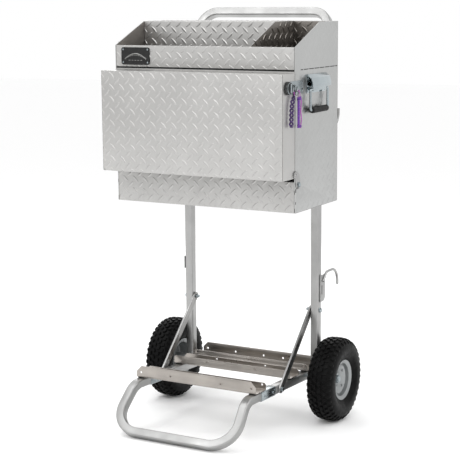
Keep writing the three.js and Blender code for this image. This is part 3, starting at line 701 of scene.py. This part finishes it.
def add_axle():
    low, high = cad_box("axle", LEVEL)
    centre = (0, 0, 0)
    mesh = bmesh.new()
    cylinder(mesh, 8, low.x, high.x, centre, "X", 48, 1.2)
    for sign in (-1, 1):
        cylinder(mesh, 12.5, sign * 231.3, sign * 234.3, centre, "X", 40, 0.4)
    emit("axle_rod", mesh, "zinc", ZINC, ["axle"], place=LEVEL)
    for side, sign in SIDES:
        low, high = cad_box(f"axle_nut_{side}", LEVEL)
        inner, outer = (low.x, high.x) if sign > 0 else (high.x, low.x)
        mesh = bmesh.new()
        cylinder(mesh, 14, inner, inner + sign * 2, centre, "X", 48, 0.4)
        hexagon(mesh, 21.6, inner + sign * 2, outer, centre)
        emit(f"axle_nut_hex_{side}", mesh, "zinc", ZINC, [f"axle_nut_{side}"], place=LEVEL)


add_braces()
add_bolts()
add_axle()


# ---- cross channels ----
# For each channel: its front wall's holes, its rear wall's holes, and both walls' clipped corners.
CHANNELS = {
    "front": ((-184, -83, 85, 184), (-184, -112, -12, 88, 186), (16, 6)),
    "middle": ((-83, 83), (-83, 85), (4, 9)),
    "rear": ((-186, 186), (-183, -82, 18, 86, 184), (6, 15)),
}
HOLE_HEIGHT = 15.2
HOLE_RADIUS = 3
CHANNEL_SHEET = 2.0
CHANNEL_BEND = 3.2


def cut_away(mesh, cutters):
    """A bmesh without the parts that the cutters' solids cover."""
    for each in (mesh, cutters):
        bmesh.ops.recalc_face_normals(each, faces=each.faces)
    draft, tool = loose_object("draft", mesh), loose_object("cutters", cutters)
    modifier = draft.modifiers.new("cut", "BOOLEAN")
    modifier.object = tool
    modifier.solver = "EXACT"
    modifier.use_self = True
    graph = bpy.context.evaluated_depsgraph_get()
    result = bmesh.new()
    result.from_mesh(bpy.data.meshes.new_from_object(draft.evaluated_get(graph)))
    bpy.data.objects.remove(draft)
    bpy.data.objects.remove(tool)
    return result


def channel_profile(low, high, front, rear):
    """A U section in (y, z) with round bends at its two bottom corners, from its two walls' tops."""
    bend, sheet = CHANNEL_BEND, CHANNEL_SHEET
    outer, inner = [], []
    for cy, start in ((low.y + bend, 180), (high.y - bend, 270)):
        for i in range(6):
            angle = radians(start + 90 * i / 5)
            c, s = cos(angle), sin(angle)
            outer.append((cy + bend * c, low.z + bend + bend * s))
            inner.append((cy + (bend - sheet) * c, low.z + bend + (bend - sheet) * s))
    points = [(low.y, front)] + outer + [(high.y, rear), (high.y - sheet, rear)]
    return points + inner[::-1] + [(low.y + sheet, front)]


def add_channels():
    for where, (front_holes, rear_holes, clips) in CHANNELS.items():
        node = f"{where}_cross_channel"
        low, high = cad_box(node, LEVEL)
        points = cad_points(node, LEVEL)
        front = max(p.z for p in points if p.y < low.y + 3)
        rear = max(p.z for p in points if p.y > high.y - 3)
        mesh = bmesh.new()
        slab(mesh, channel_profile(low, high, front, rear), low.x, high.x)
        cutters = bmesh.new()
        for y, holes in ((low.y + 1, front_holes), (high.y - 1, rear_holes)):
            for x in holes:
                cylinder(cutters, HOLE_RADIUS, y - 4, y + 4, (x, 0, low.z + HOLE_HEIGHT), "Y", 24)
        for y, top, size in ((low.y, front, clips[0]), (high.y - CHANNEL_SHEET, rear, clips[1])):
            for sign in (-1, 1):
                outline = [(size, 0), (-1, -size - 1), (-1, 1), (size, 1)]
                ring_faces(cutters, [[cutters.verts.new((sign * (high.x - a), depth, top + b))
                                      for a, b in outline] for depth in (y - 3, y + 5)])
        mesh = cut_away(mesh, cutters)
        make_whole(mesh, 0.01)
        soften(mesh, 0.35, 50)
        emit(f"{where}_channel_steel", mesh, "stainless", STEEL, [node], place=LEVEL)
        for side, _ in SIDES:
            pad = f"{where}_channel_pad_{side}"
            low, high = cad_box(pad, LEVEL)
            emit_block(f"{where}_pad_{side}", low - Vector((0, 0, 0.3)), high + Vector((0, 0, 0.3)), 0.8,
                       "pad_rubber", BLACK, [pad], place=LEVEL)


add_channels()


# ---- wheels ----
KNOBS = 38
TYRE_RADIUS = 126.5
WIDEST_RADIUS = 91
TYRE_SECTION = ((52, 23.3), (54, 25.0), (58, 27.0), (61.5, 28.9), (63.6, 30.6), (67, 33.6), (71, 36.4),
                (75, 38.4), (80, 40.4), (85.5, 41.8), (91, 42.3), (96.5, 42.0), (102, 41.0), (107, 39.2),
                (111.6, 36.2), (115.3, 32.4), (118.0, 27.6), (119.9, 21), (121.0, 12), (121.4, 0))


def tyre_surface(across):
    """Radius of the tyre's crown at a distance from its middle."""
    points = [(x, r) for r, x in reversed(TYRE_SECTION) if r > WIDEST_RADIUS]
    for (x0, r0), (x1, r1) in zip(points, points[1:]):
        if x0 <= abs(across) <= x1:
            return r0 + (r1 - r0) * (abs(across) - x0) / (x1 - x0)
    return points[-1][1]


def knob(mesh, angle, across, length, width, skew, height):
    """A tread block that stands on the crown, a little narrower at its top."""
    rings = []
    for level, shrink in ((-2.5, 1.08), (height * 0.8, 1.0), (height, 0.82)):
        ring = []
        for a, b in ((-1, -0.7), (-0.7, -1), (0.7, -1), (1, -0.7), (1, 0.7), (0.7, 1), (-0.7, 1), (-1, 0.7)):
            x = across + b * width / 2 * shrink
            turn = angle + (a * length / 2 * shrink + skew * b * width / 2) / TYRE_RADIUS
            radius = tyre_surface(x) + level
            ring.append(mesh.verts.new((x, radius * cos(turn), radius * sin(turn))))
        rings.append(ring)
    ring_faces(mesh, rings)


def add_wheels():
    for side, sign in SIDES:
        low, high = cad_box(f"tyre_{side}", LEVEL)
        centre = Vector(((low.x + high.x) / 2, 0, 0))
        body = f"wheel_{side}"
        mesh = bmesh.new()
        outline = [(r, -x) for r, x in TYRE_SECTION] + [(r, x) for r, x in reversed(TYRE_SECTION[:-1])]
        turned(mesh, outline, 136)
        step = 2 * pi / KNOBS
        for k in range(KNOBS):
            for way in (-1, 1):
                angle = k * step + (0 if way < 0 else step / 2)
                knob(mesh, angle, way * 7.8, 11.5, 10.5, -0.5 * way, 5.0)
                knob(mesh, angle + step * 0.45, way * 21, 11, 9.5, -0.3 * way, 5.0)
                knob(mesh, angle + step * 0.95, way * 34, 10, 8.5, -0.1 * way, 4.6)
        for rib in ((75, 38.0), (79, 39.6)):
            for way in (-1, 1):
                turned(mesh, [(radius, way * across) for radius, across in oval(0.9, 0.9, 5, rib)], 96)
        emit(f"tyre_rubber_{side}", mesh, "tyre_rubber", TYRE, [f"tyre_{side}"],
             place=LEVEL @ Matrix.Translation(centre), body=body, sharp=38)
        add_rim(side, sign, centre, body)


def add_rim(side, sign, centre, body):
    """Profiles are turned about the axle, with x outward from the wheel's middle."""
    hub, bore, seat, inside = 15, 8.1, 51.5, 49.5
    inboard_flange = [(inside, -26), (53, -28), (57.5, -30.3), (59.6, -30.9), (60.8, -30.4), (60.6, -29.3),
                      (56, -26.7), (52.6, -25.2), (seat, -23)]
    outboard_flange = [(radius, -x) for radius, x in reversed(inboard_flange)]
    profile = [
        (bore, -46), (hub - 0.6, -46), (hub, -45.4), (hub, 1), (17, 3.2), (30, 8), (44, 12.2), (47.6, 11),
        (inside, 9.6), *inboard_flange, *outboard_flange, (inside, 18), (48.8, 14.4), (47.4, 13.2),
        (45.6, 14), (44, 17.4), (42, 18.8), (37, 18), (30, 15), (24, 12.2), (20.5, 10.2), (19, 8.4),
        (17, 7.4), (hub, 6.3), (bore, 6.3),
    ]
    mesh = bmesh.new()
    turned(mesh, profile, 112)
    place = on_side(LEVEL, sign) @ Matrix.Translation((abs(centre.x), 0, 0))
    for k in range(4):
        angle = radians(45 + 90 * k)
        hexagon(mesh, 8, 14.6, 18.4, (0, 33 * cos(angle), 33 * sin(angle)))
    emit(f"rim_pressing_{side}", mesh, "rim_silver", RIM, [f"rim_{side}"], place=place, body=body, sharp=34)
    mesh = bmesh.new()
    sweep(mesh, [(-5, -48.5, 0), (-14, -45.5, 0), (-24, -41.5, 0)], circle(2.6, 16), (0, 0, 1))
    sweep(mesh, [(-23, -41.9, 0), (-28.3, -39.8, 0)], circle(3.3, 16), (0, 0, 1))
    emit(f"valve_{side}", mesh, "tyre_rubber", BLACK, place=place, body=body, sharp=40)


add_wheels()


# ---- cord hooks and clip ----
HOOK_PLATE = [(0, 362), (24, 362), (33, 371), (33, 440), (28, 444), (0, 444)]
HOOK_REACH = 118
UPPER_HOOK_TURN = 1332


def add_hook(name, node, flip):
    """A flat plate whose slot is a painted shadow, and a bent rod; the upper hook is the lower one upside
    down.
    """
    place = LEANING
    if flip:
        place = place @ Matrix.Translation((0, 0, UPPER_HOOK_TURN)) @ Matrix.Scale(-1, 4, (0, 0, 1))
    low, high = cad_box(node, place)
    rod = (high.x - low.x) / 2
    x = low.x + rod
    mesh = bmesh.new()
    slab(mesh, HOOK_PLATE, low.x, low.x + 3)
    soften(mesh, 0.6, 50)
    route = [(x, 14, 424), (x, 39, 449), (x, HOOK_REACH, 449), (x, HOOK_REACH, 397)]
    sweep(mesh, bent_path(route, [22, 42], 24), circle(rod, 24))
    turned(mesh, [(0.2, 0), (rod - 1, 0.3), (rod, 1.5), (rod, 3), (0.2, 3)], 24, (x, HOOK_REACH, 395.5), "Z")
    emit(name, mesh, "tube_aluminium", TUBE, [node], place=place)
    # Painted shadow: a thin black block in the plate stands for the shade in its open slot.
    emit_block(f"{name}_slot", (low.x + 2.6, 8, 384), (low.x + 3.3, 12, 412), 0.2, "pad_rubber", BLACK,
               place=place)


add_hook("lower_hook_rod", "cord_hook_lower", False)
add_hook("upper_hook_rod", "cord_hook_upper", True)
clip = cad_mesh("upright_clip")
soften(clip, 1.0, 40, 3)
emit("upright_clip_block", clip, "tube_aluminium", TUBE, ["upright_clip"])


# ---- box ----
def front_face(low, high, **options):
    """Where lugs go on the front of a box."""
    size = high - low
    return dict(origin=low, right=(1, 0, 0), width=size.x, height=size.z, **options)


def top_face(low, high):
    size = high - low
    return dict(origin=(low.x, low.y, high.z), right=(1, 0, 0), up=(0, 1, 0), width=size.x, height=size.y)


def plate_piece(name, node, material, faces=(), shaded=None, body=CART, width=0.5):
    """A CAD sheet with softened edges and lugs on the stated faces; faces turned towards shaded take the
    second material, a painted shade.
    """
    mesh = cad_mesh(node)
    soften(mesh, width, 40)
    if shaded:
        mesh.normal_update()
        for face in mesh.faces:
            face.material_index = int(face.normal.dot(Vector(shaded)) > 0.9)
    for options in faces:
        add_lugs(mesh, **options)
    emit(name, mesh, "tread_plate", material, [node], body=body)


def add_box():
    box_low, box_high = cad_box("side_panel_right")
    front, rear = box_low.y, box_high.y
    tray_top = cad_box("tray_front")[1].z
    ledge_low, ledge_high = cad_box("tray_back_and_ledge")
    slope = (box_high.z - tray_top) / (ledge_low.y - front)

    def under_slope(base, depth=lambda a: a):
        """Keeps lugs clear of the tray's sloping edge."""
        return lambda a, b: b < tray_top - base + slope * max(depth(a), 0) - 8

    run = rear - front
    for side, sign in SIDES:
        depth = (lambda a: a) if sign > 0 else (lambda a: run - a)
        lugs = dict(origin=(sign * box_high.x, front if sign > 0 else rear, box_low.z), right=(0, sign, 0),
                    width=run, height=box_high.z - box_low.z, rise=0.4, phase=(0.3, 0.2),
                    keep=under_slope(box_low.z, depth))
        # Each side panel's inner face takes the painted shade.
        plate_piece(f"side_plate_{side}", f"side_panel_{side}", [SIDE_PLATE, SHADED_PLATE], [lugs],
                    (-sign, 0, 0))
    back_low, back_high = cad_box("back_panel")
    back = dict(origin=(back_high.x, back_high.y, back_low.z), right=(-1, 0, 0),
                width=back_high.x - back_low.x, height=back_high.z - back_low.z)
    plate_piece("back_plate", "back_panel", FRONT_PLATE, [back])
    for name, node, material, rise, phase in (
        ("lower_front_plate", "lower_front_panel", LOWER_PLATE, 1.2, (0.2, 0.4)),
        ("tray_front_plate", "tray_front", FRONT_PLATE, 0.85, (0.7, 0.5)),
    ):
        plate_piece(name, node, material, [front_face(*cad_box(node), rise=rise, phase=phase)])
    plate_piece("tray_back_plate", "tray_back_and_ledge", INNER_PLATE,
                [front_face(ledge_low, ledge_high, rise=1.2), top_face(ledge_low, ledge_high)])
    plate_piece("tray_floor_plate", "cabinet_top", INNER_PLATE, [top_face(*cad_box("cabinet_top"))])
    low, high = cad_box("tray_divider")
    # The divider's right face and its lugs there take the painted shade.
    face = dict(origin=(high.x, low.y, low.z), right=(0, 1, 0), width=high.y - low.y,
                height=high.z - low.z, keep=under_slope(low.z), material=1)
    plate_piece("divider_plate", "tray_divider", [SIDE_PLATE, SHADED_PLATE], [face], (1, 0, 0))
    # Painted shade: a thin dark tread sheet on the back panel inside the side bin, where the plate only lies
    # in shade.
    gap, thickness = 0.4, 0.8
    corner = Vector((high.x + gap, back_low.y - 0.3 - thickness, low.z + 0.5))
    opposite = Vector((back_high.x - gap, back_low.y - 0.3, back_high.z - 1.5))
    mesh = bmesh.new()
    block(mesh, corner, opposite, 0.2)
    add_lugs(mesh, **front_face(corner, opposite))
    emit("side_bin_shade_sheet", mesh, "tread_plate", SHADED_PLATE)
    plate_piece("cabinet_floor_plate", "cabinet_floor", SIDE_PLATE)


EAR_OUTLINE = [(-300, 778), (-289, 772), (-285, 752), (-278, 744), (-266, 744), (-259, 750),
               (-259, 764), (-268, 786), (-279, 794), (-290, 795), (-300, 790)]
EAR_RIVETS = ((-281, 785), (-293, 784))


def add_door():
    face = front_face(*cad_box("door_pan"), rise=1.05)
    plate_piece("door_plate", "door_pan", FRONT_PLATE, [face], body="door", width=0.6)
    for side, sign in SIDES:
        place = on_side(LEANING, sign)
        node = f"door_ear_{side}"
        low, high = cad_box(node, place)
        mesh = bmesh.new()
        slab(mesh, EAR_OUTLINE, low.x, high.x)
        soften(mesh, 0.6, 50)
        for y, z in EAR_RIVETS:
            turned(mesh, [(0.2, high.x - 0.5), (3.8, high.x - 0.5), (3.7, high.x + 0.6), (2.6, high.x + 1.6),
                          (0.2, high.x + 2)], 28, (0, y, z))
        emit(f"door_ear_plate_{side}", mesh, "zinc", TUBE, [node], place=place, body="door")
        # Painted shadow: a thin black block on the ear stands for the shade in its hole.
        emit_block(f"door_ear_slot_shadow_{side}", (high.x - 0.3, -279, 745.5), (high.x + 0.15, -273, 751.5), 0.1,
                   "pad_rubber", BLACK, place=place, body="door")
    low, high = cad_box("door_pivot_rod")
    centre = centre_line(low, high)
    mesh = bmesh.new()
    cylinder(mesh, 4, low.x + 1, high.x - 1, centre, "X", 24)
    for end, way in ((low.x, 1), (high.x, -1)):
        hexagon(mesh, 11.2, end, end + way * 3.4, centre)
        cylinder(mesh, 7.4, end + way * 3.2, end + way * 4, centre, "X", 32, 0.2)
    emit("door_pivot_rod_hex", mesh, "zinc", ZINC, ["door_pivot_rod"])


def add_joints_and_painted_shade():
    """Painted shadow in the gaps under the tray, in the sides' slit and by the door's foot; painted shade
    along the door's edges; and the dark joints down the corners.
    """
    tray_low, tray_high = cad_box("tray_front")
    side_low, side_high = cad_box("side_panel_right")
    door_low, door_high = cad_box("door_pan")
    panel_top = cad_box("lower_front_panel")[1].z
    front, rear = side_low.y, side_high.y
    sheet = 2.2
    proud = 0.12
    shadow_strips, joints, door_shade_strips = bmesh.new(), bmesh.new(), bmesh.new()
    under = tray_low.z
    # Painted shadow: dark strips in the gaps under the tray and in the sides' slit, and two dark patches by
    # the door's foot.
    block(shadow_strips, (tray_low.x, front - 0.25, under - 4.6), (tray_high.x, front + 1, under + 0.2), 0.1)
    for sign in (-1, 1):
        outer = sign * side_high.x
        inner = outer - sign * sheet
        skin = outer + sign * proud
        block(shadow_strips, (skin, front + 34, under - 2), (inner, rear - 3, under + 0.3), 0.1)
        for y0, y1, z0, z1 in ((front + 2, front + 7, 735, 746), (front + 0.8, front + 4, 702, 709)):
            block(shadow_strips, (outer - sign * 0.3, y0, z0), (skin, y1, z1), 0.1)
        for z0, z1 in ((side_low.z + 1, panel_top - 1), (tray_low.z, tray_high.z - 1)):
            block(joints, (inner, front - 0.15, z0), (inner - sign * 0.7, front + 0.5, z1), 0.1)
        for z0, z1 in ((side_low.z + 2, side_low.z + 14), (panel_top - 34, panel_top - 24)):
            block(joints, (inner, front - proud, z0), (inner + sign * 1.6, front + 0.5, z1), 0.1)
        x0, x1 = outer - sign * 0.4, outer + sign * 0.08
        block(joints, (x0, rear - 0.7, side_low.z + 1), (x1, rear + 0.08, side_high.z - 1), 0.05)
        block(joints, (x0, front + 2, side_low.z - 0.08), (x1, rear - 2, side_low.z + 0.7), 0.05)
        # Painted shade: dark strips in the gap behind the door's sides and along its front folds.
        edge = sign * door_high.x
        z0, z1 = door_low.z + 1, door_high.z - 1
        for y0, y1, inset, outset in ((door_high.y - 1, door_high.y + 0.3, 1.2, proud),
                                      (door_low.y - 0.05, door_low.y + 0.7, 0.8, 0.05)):
            block(door_shade_strips, (edge - sign * inset, y0, z0), (edge + sign * outset, y1, z1), 0.1)
    emit("box_gap_shadows", shadow_strips, "pad_rubber", PAINTED_GAP_SHADOW)
    emit("box_corner_joints", joints, "pad_rubber", JOINT_AND_SHADE)
    emit("door_edge_shade", door_shade_strips, "pad_rubber", JOINT_AND_SHADE, body="door")


add_box()
add_door()
add_joints_and_painted_shade()


# ---- lock, key ring ----
def add_lock():
    low, high = cad_box("hasp_plate")
    mesh = bmesh.new()
    block(mesh, (low.x, low.y, low.z), (low.x + 2, high.y, high.z), 0.7)
    for y in (high.y - 7, high.y - 20):
        for z in (low.z + 8, high.z - 8):
            cylinder(mesh, 3, low.x + 1.8, low.x + 3.2, (0, y, z), "X", 20, 0.7)
    cylinder(mesh, 3.2, low.x + 0.2, low.x + 3.4, (0, high.y - 30, (low.z + high.z) / 2), "X", 20, 0.4)
    cylinder(mesh, 2.5, low.x + 1, high.x, (0, -305, 1028), "X", 20, 0.5)
    emit("hasp_leaf", mesh, "zinc", ZINC, ["hasp_plate"])
    low, high = cad_box("lock_knob")
    centre = centre_line(low, high)
    start = low.x
    mesh = bmesh.new()
    profile = [(0.2, start), (16.8, start), (18, start + 1.2), (18, start + 8), (17.4, start + 9.2),
               (16, start + 10), (14.8, start + 9.6), (14.2, start + 8.8), (12.6, start + 8.8),
               (12, start + 9.4), (11.4, start + 9.8), (0.2, start + 9.9)]
    turned(mesh, profile, 64, centre)
    emit("lock_body", mesh, "dark_steel", DARK_STEEL, ["lock_knob"], body="lock")
    mesh = bmesh.new()
    block(mesh, (start + 9, centre.y - 3, centre.z - 12), (high.x, centre.y + 3, centre.z + 12), 1.6, 3)
    collar = [(15, start + 9.4), (16.4, start + 9.9), (15.9, start + 10.6), (15, start + 10.4)]
    turned(mesh, collar, 64, centre)
    emit("lock_grip", mesh, "zinc", ZINC, body="lock")


def add_key_ring():
    low, high = cad_box("key_ring")
    centre = (low + high) / 2
    radius = (high.z - low.z) / 2 - 1
    mesh = bmesh.new()
    for shift, size in ((-0.55, 0.0), (0.55, 0.25)):
        turned(mesh, oval(0.8, 0.55, 8, (radius - size, shift)), 48, centre)
    emit("key_ring_wire", mesh, "zinc", DARK_STEEL, ["key_ring"])
    mesh = bmesh.new()
    for y, z, tilt in ((-316, 1006, 0.3), (-293, 1009, -0.5)):
        before = len(mesh.verts)
        turned(mesh, oval(0.9, 0.9, 8, (5.2, 0)), 28)
        mesh.verts.ensure_lookup_table()
        turn = Matrix.Translation((centre.x + 1.6, y, z)) @ Matrix.Rotation(tilt, 4, "Z")
        bmesh.ops.transform(mesh, matrix=turn, verts=mesh.verts[before:])
    emit("lanyard_loops", mesh, "zinc", DARK_STEEL)


add_lock()
add_key_ring()


# ---- side handles ----
GRIP_RIBS = 26


def add_side_handles():
    for side, sign in SIDES:
        place = on_side(LEANING, sign)
        node = f"side_handle_plate_{side}"
        mesh = cad_mesh(node, place)
        soften(mesh, 0.5, 25)
        low, high = cad_box(node, place)
        for y in (low.y + 5.5, high.y - 5.5):
            for z in (low.z + 6, low.z + 40):
                cylinder(mesh, 3.2, low.x + 1.8, low.x + 3.8, (0, y, z), "X", 20, 1.0)
        emit(f"side_handle_hood_{side}", mesh, "chrome", CHROME, [node], place=place, sharp=30)
        low, high = cad_box(f"side_handle_bail_{side}", place)
        rod, inset = 3.8, 3.6
        x = (low.x + high.x) / 2
        top, bottom = high.z - inset, low.z + inset
        mid = (low.y + high.y) / 2
        half = high.y - inset - mid
        route = [(x, mid - 43.2, top), (x, mid - half, top), (x, mid - half, bottom),
                 (x, mid + half, bottom), (x, mid + half, top), (x, mid + 43.2, top)]
        mesh = bmesh.new()
        sweep(mesh, bent_path(route, [5, 7, 7, 5], 10), circle(rod, 20))
        body = f"side_handle_{side}"
        emit(f"side_handle_wire_{side}", mesh, "zinc", ZINC, [f"side_handle_bail_{side}"], place=place,
             body=body)
        low, high = cad_box(f"side_handle_grip_{side}", place)
        radius = (high.x - low.x) / 2
        profile = [(rod, low.y), (radius - 1.5, low.y), (radius - 0.3, low.y + 1.5)]
        step = (high.y - low.y - 6) / GRIP_RIBS
        for k in range(GRIP_RIBS):
            y = low.y + 3 + step * k
            profile += [(radius - 1.1, y), (radius - 0.1, y + step * 0.25), (radius - 0.1, y + step * 0.75)]
        profile += [(radius - 1.1, high.y - 3), (radius - 0.3, high.y - 1.5), (radius - 1.5, high.y),
                    (rod, high.y)]
        mesh = bmesh.new()
        turned(mesh, profile, 32, centre_line(low, high, "Y"), "Y")
        emit(f"side_handle_rubber_{side}", mesh, "pad_rubber", BLACK, [f"side_handle_grip_{side}"],
             place=place, body=body, sharp=50)


add_side_handles()


# ---- name plate ----
def add_name_plate():
    low, high = cad_box("name_plate")
    centre = (low + high) / 2
    width, height = high.x - low.x, high.z - low.z
    back, face = high.y, low.y
    corner = 7
    mesh = bmesh.new()
    rings = []
    for inset, y in ((0, back), (0, face + 0.5), (0.5, face), (2.6, face), (3.2, face + 0.7)):
        outline = rounded_rectangle(width - 2 * inset, height - 2 * inset, corner - inset)
        rings.append([mesh.verts.new((centre.x + x, y, centre.z + z)) for x, z in outline])
    ring_faces(mesh, rings)
    emit("name_plate_shell", mesh, "name_black", NAME_BLACK, ["name_plate"])
    mesh = bmesh.new()
    for rise, thickness in ((15.5, 1.5), (11.5, 0.7)):
        arch = [(centre.x + t * 36, face + 0.7, centre.z - 9 + rise * (1 - t * t))
                for t in (i / 16 for i in range(-16, 17))]
        sweep(mesh, arch, oval(thickness, 0.5, 8), (0, 0, 1))
    for k in range(5):
        x = centre.x - 20 + 10 * k
        block(mesh, (x - 3.4, face + 0.2, centre.z - 13), (x + 3.4, face + 0.9, centre.z - 11.4), 0.3)
    emit("name_plate_ornament", mesh, "name_black", BRACE_SHADE_AND_ORNAMENT)
    mesh = bmesh.new()
    for sx in (-1, 1):
        for sz in (-1, 1):
            spot = (centre.x + sx * (width / 2 - 6.5), 0, centre.z + sz * (height / 2 - 6.5))
            cylinder(mesh, 2.6, face - 0.7, face + 0.8, spot, "Y", 20, 0.6)
    emit("name_plate_rivets", mesh, "zinc", ZINC)


add_name_plate()


# ---- studio ----
def add_studio():
    world = bpy.data.worlds.new("studio")
    bpy.context.scene.world = world
    world.use_nodes = True
    background = world.node_tree.nodes["Background"]
    background.inputs["Color"].default_value = (1, 1, 1, 1)
    background.inputs["Strength"].default_value = 1.0
    for name, spot, aim, size, power in (
        ("key", (0.8, -3.6, 3.4), (0, 0, 0.7), 2.4, 40),
        ("left", (-2.0, -2.6, 3.4), (0, 0, 0.7), 1.6, 17),
        ("back", (-1.7, 3.0, 1.9), (0, 0, 0.9), 2.2, 24),
        ("side", (3.4, 0.6, 3.0), (0, 0, 0.7), 1.4, 28),
        ("top", (-1.2, -0.6, 4.0), (0, -0.3, 0.4), 2.0, 26),
    ):
        data = bpy.data.lights.new(name, "AREA")
        data.shape = "DISK"
        data.size = size
        data.energy = power
        lamp = link(bpy.data.objects.new(name, data))
        lamp.visible_camera = False
        lamp.location = spot
        lamp.rotation_euler = (Vector(aim) - Vector(spot)).to_track_quat("-Z", "Y").to_euler()
    mesh = bmesh.new()
    bmesh.ops.create_grid(mesh, x_segments=1, y_segments=1, size=60)
    floor = loose_object("floor", mesh)
    floor.data.materials.append(Material("floor_paper", (0.98, 0.98, 0.98), 0.95).material)
    bpy.context.scene.view_settings.view_transform = "Standard"


add_studio()
